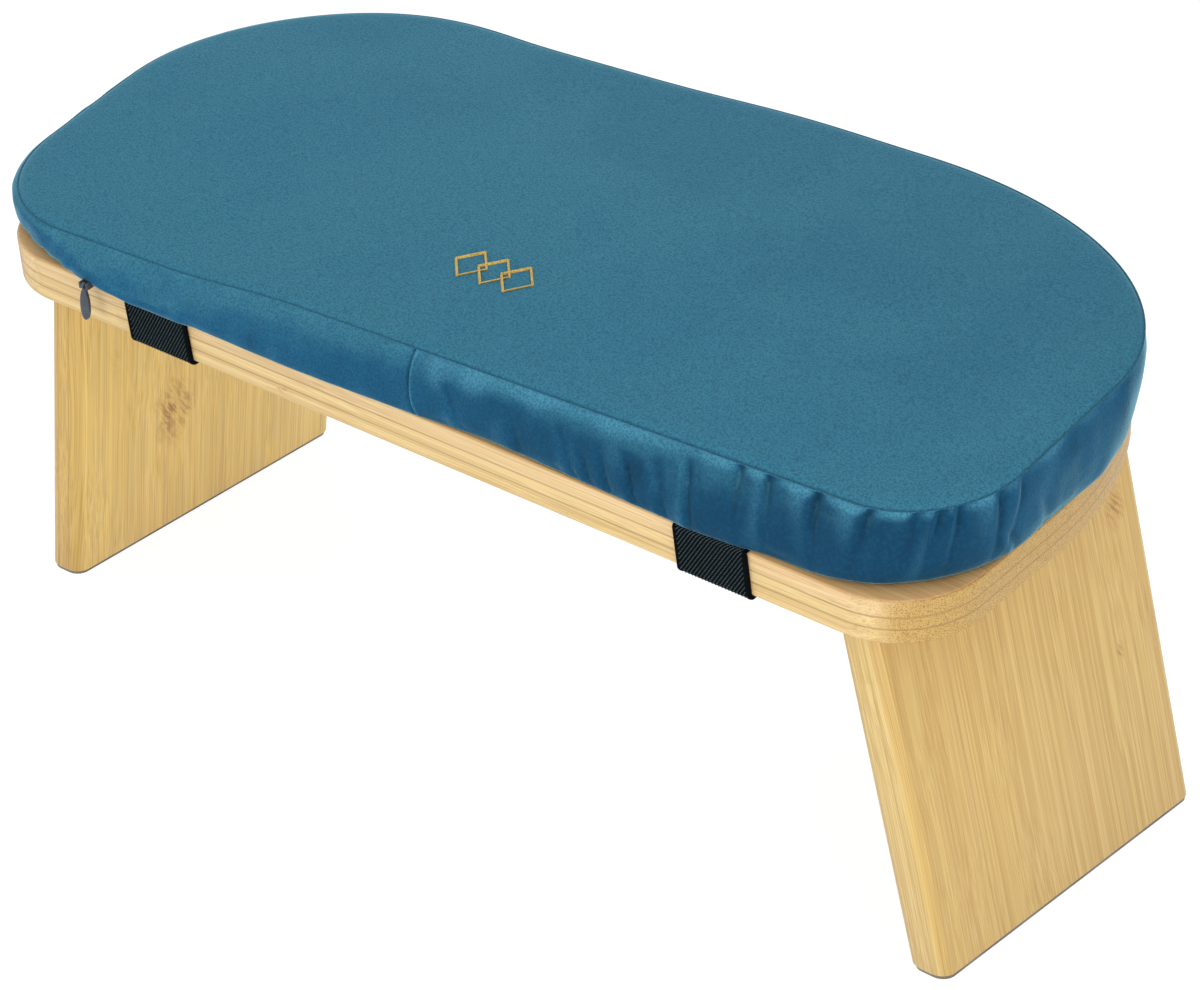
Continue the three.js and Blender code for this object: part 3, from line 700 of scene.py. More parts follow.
def leg_pieces(side, sign):
    place = leg_place(sign)
    to_seat = SEAT.inverted() @ place
    foot_top = FOOT_STRIP_THICKNESS + FIT_GAP
    body = f"{side}_leg"
    eased = ((LEG_EASE, 0.0), (LEG_EASE / 3, LEG_EASE / 3), (0.0, LEG_EASE))
    rings = [leg_ring(sign, inset, place, foot_top, step) for inset, step in eased]
    rings += [leg_ring(sign, inset, to_seat, -FIT_GAP, -step) for inset, step in reversed(eased)]
    leg = piece(f"{side}_leg_panel", *loft(rings), leg_bamboo[side], place, body, "bamboo")
    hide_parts(f"leg_{side}")
    # A thin grey strip under each leg, down to the floor.
    rings = [leg_ring(sign, FOOT_STRIP_INSET, place, level, 0.0) for level in (0.0, FOOT_STRIP_THICKNESS)]
    strip = piece(f"{side}_foot_grey_strip", *loft(rings), grey_strip_finish, place, body, "grip_rubber")
    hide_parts(f"foot_strip_{side}")


# Cushion: one closed cover with its seams, worked out row by row round its edge
def smooth(value, low, high):
    share = np.clip((value - low) / (high - low), 0, 1)
    return share * share * (3 - 2 * share)


def hump(value, middle, width):
    return np.exp(-((value - middle) / width) ** 2)


def bowed(x, bows):
    return sum(depth * hump(x, middle, width) for depth, middle, width in bows)


def seam_height(x, y):
    """Height of the upper seam over the board: higher at the back right, with a slack front left corner."""
    height = BAND_HEIGHT + BAND_RISE_ALONG * x + BAND_RISE_ACROSS * y
    slack = smooth(-x, 0.055, 0.125) * smooth(-y, -0.030, 0.080)
    return height - SLACK_DEPTH * slack + bowed(x, SEAM_BOWS) * smooth(y, 0.0, 0.09)


def dense_edge(level, outset):
    """Many points round the cushion's outline from the middle of its front, and the length up to each."""
    size = {}
    for key, low in HEM_EDGE.items():
        size[key] = np.array(low) + (np.array(SEAM_EDGE[key]) - low) * level + outset
    left, right, front, back = -size["left"], size["right"], -size["front"], size["back"]
    share = np.linspace(0, 1, EDGE_SAMPLES)
    middle = np.array([0, front])
    parts = []

    def add_line(start, end):
        parts.append(np.outer(1 - share, start) + np.outer(share, end))

    before = middle
    corners = (
        ("front_right", right, front), ("back_right", right, back), ("back_left", left, back),
        ("front_left", left, front))
    for quarter, (key, edge_x, edge_y) in enumerate(corners):
        arc = np.column_stack(on_corner(quarter, share, edge_x, edge_y, *size[key]))
        add_line(before, arc[0])
        parts.append(arc)
        before = arc[-1]
    add_line(before, middle)
    points = np.concatenate(parts)
    lengths = np.concatenate([[0], np.cumsum(np.linalg.norm(np.diff(points, axis=0), axis=1))])
    return points, lengths


EDGE_LENGTH = dense_edge(1, 0)[1][-1]


def cushion_places():
    """Lengths along the cushion's edge at which it has points."""
    places = [0.0]
    while places[-1] < EDGE_LENGTH:
        at = places[-1]
        if -JOIN_BEFORE < at - JOIN_PLACE[0] < JOIN_AFTER or at > EDGE_LENGTH - JOIN_BEFORE:
            at += JOIN_STEP
        elif PUCKER_START < at < PUCKER_END:
            at += FINE_STEP
        else:
            at += COARSE_STEP
        places.append(at)
    return np.array(places[:-1])


EDGE_PLACES = cushion_places()
EDGE_SHARES = EDGE_PLACES / EDGE_LENGTH


def sampled(at, places, points):
    """Points of a flat line at lengths along it."""
    return np.column_stack([np.interp(at, places, points[:, k]) for k in (0, 1)])


def cushion_ring(level, outset):
    """The cushion's outline between its hem (0) and its upper seam (1), moved out."""
    points, lengths = dense_edge(level, outset)
    ring = sampled(EDGE_SHARES * lengths[-1], lengths, points)
    x, y = ring.T
    ring[:, 1] += np.where(y < 0, -(1 - level) * bowed(x, HEM_BOWS), bowed(x, BACK_BOWS))
    return ring


def outward(ring):
    """Outward unit directions along a flat ring that runs counterclockwise."""
    around = np.roll(ring, -1, axis=0) - np.roll(ring, 1, axis=0)
    away = np.column_stack([around[:, 1], -around[:, 0]])
    return away / np.linalg.norm(away, axis=1, keepdims=True)


def raised(flat, level, rise=0.0):
    """A flat ring put between the board (0) and the upper seam (1), with a rise over that."""
    return np.column_stack([flat, FIT_GAP + level * seam_height(flat[:, 0], flat[:, 1]) + rise])


BAND_LEVELS = np.concatenate([
    [0.0, 0.015, 0.04, 0.08], np.linspace(0.13, 0.83, 18), [0.87, 0.905, 0.935, 0.96, 0.98]])


def band_rows():
    """Rows from the hem up to the seam: the fabric turns under below and rounds over above."""
    rows = []
    for level in BAND_LEVELS:
        turned = (1 - (1 - min(level / HEM_TURN, 1.0)) ** 2) ** 0.5
        full = 1 - abs(2 * level - 1) ** BAND_FULLNESS
        flat = cushion_ring(level, 0.0)
        away = outward(flat)
        bulge = BAND_BULGE + np.where(away[:, 0] > 0, RIGHT_BULGE, LEFT_BULGE) * away[:, 0] ** 2
        outset = bulge * full + HEM_SPREAD * turned * (1 - level) - HEM_TUCK * (1 - turned)
        rows.append(raised(flat + away * outset[:, None], level))
    return rows


# Offsets inwards and heights over the seam across its groove and up the top panel's lip
SEAM_PROFILE = (
    (-0.00020, -0.00010), (0.00010, -0.00036), (0.00028, -SEAM_DEPTH), (0.00046, -0.00038),
    (0.00072, -0.00004), (0.0013, 0.00040), (0.0020, 0.00078), (0.0031, 0.00106), (0.0046, 0.00122),
    (0.0066, 0.00130), (0.0090, SEAM_LIP),
)
GROOVE_ROW = 2
CROWN_START = 0.001
TOP_ROWS = 24
BOTTOM_SHARES = (0.3, 0.6, 0.85, 0.95, 0.99)
BOTTOM_TUCK = 0.0003


def crown(share):
    return CROWN_HEIGHT * (1 - share ** 2)


def top_rows():
    rows = []
    for inset, rise in SEAM_PROFILE:
        edge_share = 1 - inset / SEAM_EDGE["back"]
        rows.append(raised(
            cushion_ring(1, -inset), 1.0, rise + (crown(edge_share) if inset > CROWN_START else 0.0)))
    last = cushion_ring(1, -inset)
    for k in range(1, TOP_ROWS):
        share = 1 - k / TOP_ROWS
        rows.append(raised(last * share, 1.0, SEAM_LIP + crown(share * edge_share)))
    return rows


def bottom_rows():
    hem = cushion_ring(0, -HEM_TUCK - BOTTOM_TUCK)
    return [raised(hem * share, 0.0) for share in BOTTOM_SHARES]


# Waves of the cover and of its painted shade: height, seed, shortest and longest, how many, and how they
# slant
BROAD_WAVES = (0.00028, 3, 0.050, 0.130, 7, 0.25)
SMALL_WAVES = (0.00012, 5, 0.010, 0.026, 11, 0.8)
SHADE_WAVES = (0.22, 8, 0.014, 0.045, 11, 0.9)


def waves(along, up, height, seed, shortest, longest, count, slant):
    """Smooth unevenness from a few seeded waves."""
    dice = random.Random(seed)
    total = np.zeros_like(along)
    for _ in range(count):
        length = dice.uniform(shortest, longest)
        turns = max(round(EDGE_LENGTH / length), 1)
        climb = dice.uniform(-slant, slant)
        phase = dice.uniform(0, 2 * math.pi)
        total += np.sin(2 * math.pi * (along / EDGE_LENGTH * turns + up * climb) + phase)
    return height * (total / math.sqrt(count))


# Gathers at the front right: places along the seam and along the hem, how deep the crease between two
# folds is, and how far the fold before it stands out
GATHERS = (
    (0.1290, 0.1400, 0.0003, 0.0004),
    (0.1463, 0.1531, 0.0010, 0.0008),
    (0.1589, 0.1651, 0.0011, 0.0010),
    (0.1791, 0.1844, 0.0012, 0.0014),
    (0.2000, 0.1970, 0.0012, 0.0013),
    (0.2159, 0.2134, 0.0006, 0.0007),
    (0.2236, 0.2206, 0.0009, 0.0006),
    (0.2300, 0.2288, 0.0010, 0.0006),
    (0.2453, 0.2456, 0.0009, 0.0010),
    (0.2560, 0.2500, 0.0005, 0.0005),
)
CREASE_HALF_WIDTH = 0.0018
FOLD_LEAN = 2.0


def gathers(along, up):
    """Puckers drawn up into the seam: how far they stand out, and a painted shade, -1 (painted shade in a
    crease) to 1 (painted highlight on a ridge).
    """
    out = np.zeros_like(along)
    shade = np.zeros_like(along)
    at = [seam * up + hem * (1 - up) for seam, hem, _, _ in GATHERS]
    lively = 0.08 + 0.92 * np.clip(up * 1.1, 0, 1) ** 1.3
    for k, (_, _, crease, fold) in enumerate(GATHERS):
        wander = 0.0004 * np.sin(6.0 * up + 2.3 * k)
        narrow = np.exp(-(np.abs(along - at[k] - wander) / CREASE_HALF_WIDTH) ** 1.5)
        out -= crease * lively * narrow
        shade -= 0.85 * min(crease / 0.0010, 1.2) * lively * narrow
        if k > 0:
            share = np.clip((along - at[k - 1]) / (at[k] - at[k - 1]), 0, 1) ** FOLD_LEAN
            ridge = np.sin(math.pi * share) ** 0.9
            out += fold * lively * ridge
            shade += 0.70 * min(fold / 0.0012, 1.0) * lively * ridge ** 2
    return out, shade


# Slanting drag lines: places along the hem and higher up, top of the line, depth, half width
DRAGS = (
    (0.0280, 0.0160, 0.80, 0.0008, 0.0022), (0.0560, 0.0470, 0.62, 0.0006, 0.0022),
    (0.0810, 0.0700, 0.78, 0.0010, 0.0020), (0.0880, 0.0800, 0.62, 0.0010, 0.0017),
    (0.0970, 0.0880, 0.70, 0.0012, 0.0018), (0.1090, 0.1000, 0.74, 0.0014, 0.0019),
    (0.1230, 0.1130, 0.82, 0.0013, 0.0020), (0.1340, 0.1260, 0.95, 0.0012, 0.0020),
    (0.2590, 0.2480, 0.55, 0.0009, 0.0020), (0.2760, 0.2660, 0.70, 0.0005, 0.0026),
    (0.9700, 0.9780, 0.80, 0.0002, 0.0030), (0.9850, 0.9960, 0.90, 0.0003, 0.0028),
    (0.9960, 1.0060, 0.95, 0.0003, 0.0026), (1.0050, 1.0150, 0.98, 0.0004, 0.0024),
    (1.0700, 1.0620, 0.70, 0.0003, 0.0026),
)


def drags(along, up):
    """Wrinkles slanting up from the hem: how far they stand out, and their painted shade and highlight."""
    out = np.zeros_like(along)
    shade = np.zeros_like(along)
    for hem, high, top, depth, half_width in DRAGS:
        across = (along - (hem + (high - hem) * up / top)) / half_width
        fade = smooth(top - up, 0.0, 0.30) * smooth(up, 0.0, 0.12)
        line = 0.55 * hump(across, -1.7, 0.9) - np.exp(-np.abs(across) ** 1.5)
        out += fade * depth * line
        shade += fade * min(depth / 0.0012, 1.0) * 0.65 * line
    return out, shade


def folds(along, up):
    """How far the cover stands out along its edge, up 0 at the hem to 1 at the seam, and its painted shade
    and highlight.
    """
    out = waves(along, up, *BROAD_WAVES) + waves(along, up, *SMALL_WAVES)
    gather_out, gather_shade = gathers(along, up)
    drag_out, drag_shade = drags(along, up)
    return out + gather_out + drag_out, gather_shade + drag_shade + waves(along, up, *SHADE_WAVES)


def painted_shoulder_highlight(along, up):
    """Painted highlight along the shoulder below the seam, most of all right of the join."""
    open_stretch = smooth(along, 0.004, 0.016) * smooth(0.150 - along, 0.0, 0.040)
    right_stretch = smooth(0.34 - along, 0.0, 0.06)
    near_join = smooth(along, 0.003, 0.012) * smooth(0.055 - along, 0.0, 0.035)
    low = 0.86 - 0.14 * open_stretch - 0.28 * near_join
    strength = 0.22 + 0.33 * right_stretch + 0.45 * open_stretch
    return strength * smooth((up - low) / (0.97 - low), 0.0, 1.0)


def join_line(along, up):
    """The short seam that joins the band's two ends at the front: a groove, with painted shade in it and a
    painted highlight on its right rim.
    """
    place = JOIN_PLACE[0] + (JOIN_PLACE[1] - JOIN_PLACE[0]) * (1 - up) ** 2.2
    offset = (along - place + EDGE_LENGTH / 2) % EDGE_LENGTH - EDGE_LENGTH / 2
    t = offset / JOIN_HALF_WIDTH
    groove = np.exp(-t ** 2)
    depth = 0.00045 * hump(t, 2.3, 1.5) + 0.00012 * hump(t, -2.4, 1.6) - 0.0008 * groove
    # The second value is painted shade in the groove and a painted highlight on its right.
    return depth, 1.1 * hump(t, 2.2, 1.1) - 0.5 * groove


# How far a strap lifts the hem, how far that reaches past the strap and up the band, and where it starts
STRAP_LIFT = 0.0007
STRAP_LIFT_PAST = 0.006
STRAP_LIFT_TOP = 0.45
STRAP_LIFT_SIDE = 0.05


def strap_lift(row, up):
    """The hem lies on the straps' ends."""
    lift = np.zeros(len(row))
    for middle in STRAP_MIDDLES.values():
        across = np.abs(row[:, 0] - (middle - CUSHION_SHIFT))
        lift += STRAP_LIFT * smooth(STRAP_WIDTH / 2 + STRAP_LIFT_PAST - across, 0.0, 2 * STRAP_LIFT_PAST)
    return lift * smooth(STRAP_LIFT_TOP - up, 0.0, STRAP_LIFT_TOP) * (np.abs(row[:, 1]) > STRAP_LIFT_SIDE)


def row_normals(grid):
    """Outward unit normals of a grid of rows that each run round the piece."""
    around = np.roll(grid, -1, axis=1) - np.roll(grid, 1, axis=1)
    normals = np.cross(around, np.gradient(grid, axis=0))
    return normals / np.maximum(np.linalg.norm(normals, axis=2, keepdims=True), 1e-12)


def top_sway(x, y):
    """The top panel's soft unevenness."""
    sway = 0.5 * np.sin(21 * x + 13 * y + 0.6) + 0.3 * np.sin(-17 * x + 31 * y + 2.1)
    return 0.00040 * (sway + 0.2 * np.sin(47 * x - 9 * y))


# Cloth pass: spacing of its points, frames, pressure, slack, how far a point may move on the band and
# on top, how firmly the top is held, and the rows over which the shift fades out to the middle
CLOTH_STEP = 0.0045
CLOTH_FRAMES = 20
CLOTH_QUALITY = 6
CLOTH_PRESSURE = 4.0
CLOTH_SLACK = 0.004
BAND_REACH = 0.0009
TOP_REACH = 0.0007
TOP_HOLD = 0.6
CALM_ROWS = 14


def settled_points(points, faces, pins):
    """Where points come to rest when the cloth swells. Pins are some points and how firmly they are held."""
    mesh = bpy.data.meshes.new("cloth_source")
    mesh.from_pydata([tuple(p) for p in points], [], faces)
    sheet = linked("cloth_source", mesh)
    scene = bpy.context.scene
    held = sheet.vertex_groups.new(name="pins")
    for places, hold in pins:
        held.add(places, hold, "REPLACE")
    modifier = sheet.modifiers.new("cloth", "CLOTH")
    modifier.settings.quality = CLOTH_QUALITY
    modifier.settings.vertex_group_mass = "pins"
    modifier.settings.use_pressure = True
    modifier.settings.uniform_pressure_force = CLOTH_PRESSURE
    modifier.settings.shrink_min = -CLOTH_SLACK
    modifier.settings.effector_weights.gravity = 0.0
    modifier.point_cache.frame_start = 1
    modifier.point_cache.frame_end = CLOTH_FRAMES
    for step in range(1, CLOTH_FRAMES + 1):
        scene.frame_set(step)
    graph = bpy.context.evaluated_depsgraph_get()
    settled = bpy.data.meshes.new_from_object(sheet.evaluated_get(graph))
    moved = np.empty(len(points) * 3)
    settled.vertices.foreach_get("co", moved)
    scene.frame_set(1)
    bpy.data.objects.remove(sheet)
    return moved.reshape(-1, 3)


def cloth_shift(grid, rows, holds):
    """How the cover swells and wrinkles between its seams, simulated on a coarser grid of its rows."""
    columns = np.searchsorted(EDGE_PLACES, np.arange(0, EDGE_LENGTH - CLOTH_STEP / 2, CLOTH_STEP))
    coarse = grid[rows][:, columns]
    points, faces = loft(list(coarse))
    count = len(columns)
    pins = [(range(1 + i * count, 1 + (i + 1) * count), hold) for i, hold in enumerate(holds)]
    pins += [([0], 1.0), ([len(points) - 1], TOP_HOLD)]
    shift = (settled_points(points, faces, pins) - np.array(points))[1:-1].reshape(coarse.shape)
    size = np.linalg.norm(shift, axis=2, keepdims=True)
    reach = np.array([TOP_REACH if hold == TOP_HOLD else BAND_REACH for hold in holds])[:, None, None]
    shift *= reach * np.tanh(size / reach) / np.maximum(size, 1e-9)
    shift = (np.roll(shift, 1, axis=1) + 2 * shift + np.roll(shift, -1, axis=1)) / 4

    known = np.concatenate([EDGE_PLACES[columns], [EDGE_LENGTH]])
    closed = np.concatenate([shift, shift[:, :1]], axis=1)
    spread = np.empty((len(rows), grid.shape[1], 3))
    result = np.empty_like(grid)
    for k in range(3):
        for i in range(len(rows)):
            spread[i, :, k] = np.interp(EDGE_PLACES, known, closed[i, :, k])
        for column in range(grid.shape[1]):
            result[:, column, k] = np.interp(np.arange(len(grid)), rows, spread[:, column, k])
    return result


def cushion_relief(grid, first):
    """How far each point stands out of the smooth cover, and its painted shade and highlight; first is the
    row of the hem.
    """
    depth = np.zeros(grid.shape[:2])
    shade = np.zeros(grid.shape[:2])
    for i in (first - 2, first - 1):
        depth[i] = strap_lift(grid[i], 0.0)
    for i, level in enumerate(BAND_LEVELS, first):
        up = np.full(len(EDGE_PLACES), level)
        hem_fade = min(level / 0.06, 1.0)
        seam_fade = 1 - 0.75 * float(smooth(level, 0.92, 1.0))
        # tint is painted shade in creases and painted highlight on ridges.
        out, tint = folds(EDGE_PLACES, up)
        join_out, join_shade = join_line(EDGE_PLACES, up)
        depth[i] = hem_fade * (seam_fade * out + join_out)
        depth[i] += strap_lift(grid[i], level)
        shade[i] = hem_fade * (tint + join_shade + painted_shoulder_highlight(EDGE_PLACES, up))
    return depth, shade


def cushion_cover():
    """The cover, its grid of points, and the row of its upper seam."""
    top = top_rows()
    bottom = bottom_rows()
    grid = np.array(bottom + band_rows() + top)
    first = len(bottom)
    seam = len(grid) - len(top)
    depth, shade = cushion_relief(grid, first)
    normals = row_normals(grid)
    for i in (first - 2, first - 1):
        normals[i] = np.column_stack([outward(grid[i][:, :2]), np.zeros(len(grid[i]))])
    inner = seam + len(SEAM_PROFILE) - 1
    rows = [0, first - 1, first] + list(range(first + 3, seam - 4, 3)) + [seam - 2, seam, inner]
    rows += list(range(inner + 1, len(grid)))
    holds = [TOP_HOLD if i > inner else 0.0 if first < i < seam - 2 else 1.0 for i in rows]
    calm = np.clip((len(grid) - 1 - np.arange(len(grid))) / CALM_ROWS, 0, 1)
    grid = grid + cloth_shift(grid, rows, holds) * calm[:, None, None] + normals * depth[:, :, None]
    for i in range(len(top)):
        row = grid[seam + i]
        row[:, 2] += smooth(i, 2, len(SEAM_PROFILE)) * top_sway(row[:, 0], row[:, 1])
    cover = piece("cushion_cover", *loft(list(grid)), velvet, CUSHION, "seat", "velvet", sharp_angle=180)
    # The painted shade and highlight reach the velvet as its fold attribute.
    attribute = cover.data.attributes.new("fold", "FLOAT", "POINT")
    attribute.data.foreach_set("value", np.concatenate([[0], shade.ravel(), [0]]).astype(np.float32))
    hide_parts("foam_pad", "cover_top_panel", "cover_side_band", "cover_bottom_panel")
    return cover, grid, seam


def zip_row():
    """The zip's tape along the hem, and the coil on it."""
    places = np.arange(EDGE_LENGTH - ZIP_END, EDGE_LENGTH - ZIP_START, COIL_STITCH["Spacing"])
    outer, middle, inner = [
        sampled(places, EDGE_PLACES, cushion_ring(0, -HEM_TUCK - ZIP_INSET - k * ZIP_TAPE_HALF_WIDTH))
        for k in (-1, 0, 1)]
    low = ZIP_TAPE_LIFT
    high = low + ZIP_TAPE_HEIGHT
    rows = [np.array([(*a, low), (*b, low), (*b, high), (*a, high)]) for a, b in zip(outer, inner)]
    tape = piece("zip_tape", *loft(rows), zip_black, CUSHION, "seat", "zip_black")
    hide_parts("zip_chain")
    line = np.column_stack([middle - (inner - outer) * COIL_SHARE, np.full(len(places), high / 2)])
    grown("zip_coil", line_mesh(line, False, CUSHION), STITCHES, COIL_STITCH, zip_black, "zip_black")


# Geometry trees for what repeats
def bead_tree(name, inputs, beads):
    """A tree that lays beads. The last argument gives their points, aim, turn, size and steps."""
    tree = bpy.data.node_groups.new(name, "GeometryNodeTree")
    measures = [(label, "Float") for label in (*inputs, "Turn")]
    new_sockets(tree, [("Geometry", "Geometry"), *measures, ("Material", "Material")])
    new_sockets(tree, [("Geometry", "Geometry")], "OUTPUT")
    n = Nodes(tree)
    given = n.add("NodeGroupInput").outputs
    points, aim, turn, size, (segments, rings) = beads(n, given)
    bead = n.add("GeometryNodeMeshUVSphere", {"Segments": segments, "Rings": rings, "Radius": 1.0})
    spin = n.add("FunctionNodeEulerToRotation", {0: turn}).outputs[0]
    turned = n.add("FunctionNodeRotateRotation", {"Rotation": aim, "Rotate By": spin}, rotation_space="LOCAL")
    laid = n.add("GeometryNodeInstanceOnPoints", {
        "Points": points, "Instance": bead.outputs["Mesh"], "Rotation": turned.outputs[0], "Scale": size})
    real = n.add("GeometryNodeRealizeInstances", {"Geometry": laid.outputs[0]})
    made = n.add("GeometryNodeSetMaterial", {"Geometry": real.outputs[0], "Material": given["Material"]})
    tree.links.new(made.outputs[0], n.add("NodeGroupOutput").inputs[0])
    return tree


def stitch_beads(n, given):
    """Short threads laid end to end along a line."""
    line = n.add("GeometryNodeMeshToCurve", {"Mesh": given["Geometry"]}).outputs[0]
    evenly = n.add("GeometryNodeResampleCurve", {"Curve": line, "Length": given["Spacing"]}, mode="LENGTH")
    tangent = n.add("GeometryNodeInputTangent").outputs[0]
    aim = n.add("FunctionNodeAlignRotationToVector", {"Vector": tangent}, axis="Z").outputs[0]
    size = n.combined(given["Radius"], given["Radius"], n.times(given["Length"], 0.5))
    return evenly.outputs[0], aim, n.combined(given["Turn"], 0.0, 0.0), size, (8, 7)


def rib_beads(n, given):
    """A slanting raised rib on each face, its length turned from X."""
    cells = n.add("GeometryNodeMeshToPoints", {"Mesh": given["Geometry"]}, mode="FACES").outputs[0]
    facing = n.add("GeometryNodeInputNamedAttribute", {"Name": "facing"}, data_type="FLOAT_VECTOR").outputs[0]
    aim = n.add("FunctionNodeAxesToRotation", {"Primary Axis": facing, "Secondary Axis": (1.0, 0.0, 0.0)})
    size = n.combined(n.times(given["Length"], 0.5), n.times(given["Width"], 0.5), given["Height"])
    return cells, aim.outputs[0], n.combined(0.0, 0.0, given["Turn"]), size, (6, 4)


STITCHES = bead_tree("stitched line", ("Spacing", "Length", "Radius"), stitch_beads)
WEAVE = bead_tree("woven ribs", ("Length", "Width", "Height"), rib_beads)


def grown(name, source, tree, values, material, slot=None):
    """The plain mesh that a geometry tree makes from a source mesh."""
    seedling = linked(f"{name}_source", source)
    modifier = seedling.modifiers.new("tree", "NODES")
    modifier.node_group = tree
    sockets = {s.name: s.identifier for s in tree.interface.items_tree if s.in_out == "INPUT"}
    for key, value in {**values, "Material": material}.items():
        modifier[sockets[key]] = value
    bpy.context.view_layer.update()
    graph = bpy.context.evaluated_depsgraph_get()
    mesh = bpy.data.meshes.new_from_object(seedling.evaluated_get(graph))
    bpy.data.objects.remove(seedling)
    mesh.name = name
    return finished(name, mesh, material, "seat", slot, sharp_angle=180)


def line_mesh(points, closed, place):
    mesh = bpy.data.meshes.new("line")
    count = len(points)
    edges = [(k, (k + 1) % count) for k in range(count if closed else count - 1)]
    mesh.from_pydata([tuple(p) for p in points], edges, [])
    mesh.transform(place)
    return mesh


def seam_stitches(grid, seam):
    """Thread in the groove of the upper seam."""
    groove = grid[seam + GROOVE_ROW].copy()
    groove[:, 2] += STITCH_SINK
    grown("seam_thread", line_mesh(groove, True, CUSHION), STITCHES, SEAM_STITCH, seam_thread, "velvet")


def embroidery(cover):
    """Plain lozenges in a row, each a line of short gold stitches."""
    mesh = cover.data
    tree = BVHTree.FromPolygons([v.co for v in mesh.vertices], [p.vertices for p in mesh.polygons])
    down = (SEAT.to_3x3() @ Vector((0, 0, -1))).normalized()

    def on_cover(x, y):
        start = SEAT @ Vector((x, y, 3 * BAND_HEIGHT))
        return tree.ray_cast(start, down)[0] - down * THREAD_RADIUS * 0.6

    for k in range(MOTIF_COUNT):
        middle_x = MOTIF_PLACE[0] + (k - (MOTIF_COUNT - 1) / 2) * MOTIF_SPACING
        corners = [
            (middle_x + a * MOTIF_WIDTH / 2, MOTIF_PLACE[1] + b * MOTIF_DEPTH / 2)
            for a, b in ((-1, 0), (0, -1), (1, 0), (0, 1))]
        points = []
        for i, (x, y) in enumerate(corners):
            next_x, next_y = corners[(i + 1) % 4]
            for step in range(MOTIF_STEPS):
                share = step / MOTIF_STEPS
                points.append(on_cover(x + (next_x - x) * share, y + (next_y - y) * share))
        line = line_mesh(points, True, Matrix())
        grown(f"embroidered_lozenge_{k + 1}", line, STITCHES, GOLD_STITCH, gold_thread)


# Straps: an elastic core with a slanting woven rib on every cell of it
def strap_path():
    """Points and outward directions from under the front hem, round the board, to under the back hem."""
    reach = SEAT_DEPTH / 2 + FIT_GAP + STRAP_THICKNESS - STRAP_BEND_RADIUS
    low = -FIT_GAP - STRAP_THICKNESS + STRAP_BEND_RADIUS
    side = reach + STRAP_BEND_RADIUS
    under = low - STRAP_BEND_RADIUS
    lip_y = side - STRAP_LIP
    top = SEAT_THICKNESS + STRAP_END_RISE
    lip_z = top - STRAP_LIP
    path = []

    def run(start, end, facing):
        steps = max(round(math.dist(start, end) / RIB_PITCH_ALONG), 1)
        for k in range(steps):
            y, z = [a + (b - a) * k / steps for a, b in zip(start, end)]
            path.append((y, z, *facing))

    def bend(middle, start, radius):
        steps = max(round(QUARTER * radius / RIB_PITCH_ALONG), 3)
        for k in range(steps):
            angle = start + QUARTER * k / steps
            facing = (math.cos(angle), math.sin(angle))
            path.append((middle[0] + radius * facing[0], middle[1] + radius * facing[1], *facing))

    run((-lip_y + STRAP_END_RUN, top), (-lip_y, top), (0, 1))
    bend((-lip_y, lip_z), QUARTER, STRAP_LIP)
    run((-side, lip_z), (-side, low), (-1, 0))
    bend((-reach, low), 2 * QUARTER, STRAP_BEND_RADIUS)
    run((-reach, under), (reach, under), (0, -1))
    bend((reach, low), -QUARTER, STRAP_BEND_RADIUS)
    run((side, low), (side, lip_z), (1, 0))
    bend((lip_y, lip_z), 0, STRAP_LIP)
    run((lip_y, top), (lip_y - STRAP_END_RUN, top), (0, 1))
    return path


def strap_lean(z):
    """Both straps are drawn a little to the right under the board."""
    return STRAP_LEAN * min(max((SEAT_THICKNESS - z) / SEAT_THICKNESS, 0.0), 1.0)


def strap_section():
    """Places across a strap and depths under its outer face: smooth edges, and a low middle for the weave."""
    half = STRAP_WIDTH / 2
    inner = half - SELVEDGE_WIDTH
    right = [
        (inner - 0.0003, -WEAVE_SINK), (inner, -0.00004), (inner + 0.0003, 0.0), (half - 0.0005, 0.0),
        (half - 0.00015, -0.00012), (half, -0.00045), (half, -STRAP_THICKNESS)]
    return right[::-1] + [(-x, depth) for x, depth in right]


def strap_core(side, path):
    section = strap_section()
    count = len(section)
    rows = []
    for y, z, facing_y, facing_z in path:
        middle = STRAP_MIDDLES[side] + strap_lean(z)
        thickness = STRAP_THICKNESS + (STRAP_END_THICKNESS - STRAP_THICKNESS) * max(facing_z, 0.0)
        for x, depth in section:
            depth = max(depth, -thickness)
            rows.append((middle + x, y + facing_y * depth, z + facing_z * depth))
    faces = []
    last = (len(path) - 1) * count
    for low in range(0, last, count):
        for k in range(count):
            after = (k + 1) % count
            faces.append((low + k, low + count + k, low + count + after, low + after))
    faces.append(range(count))
    faces.append([last + k for k in reversed(range(count))])
    core = piece(f"{side}_strap_core", rows, faces, black_core, SEAT, "seat", "elastic")
    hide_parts(f"strap_{side}")


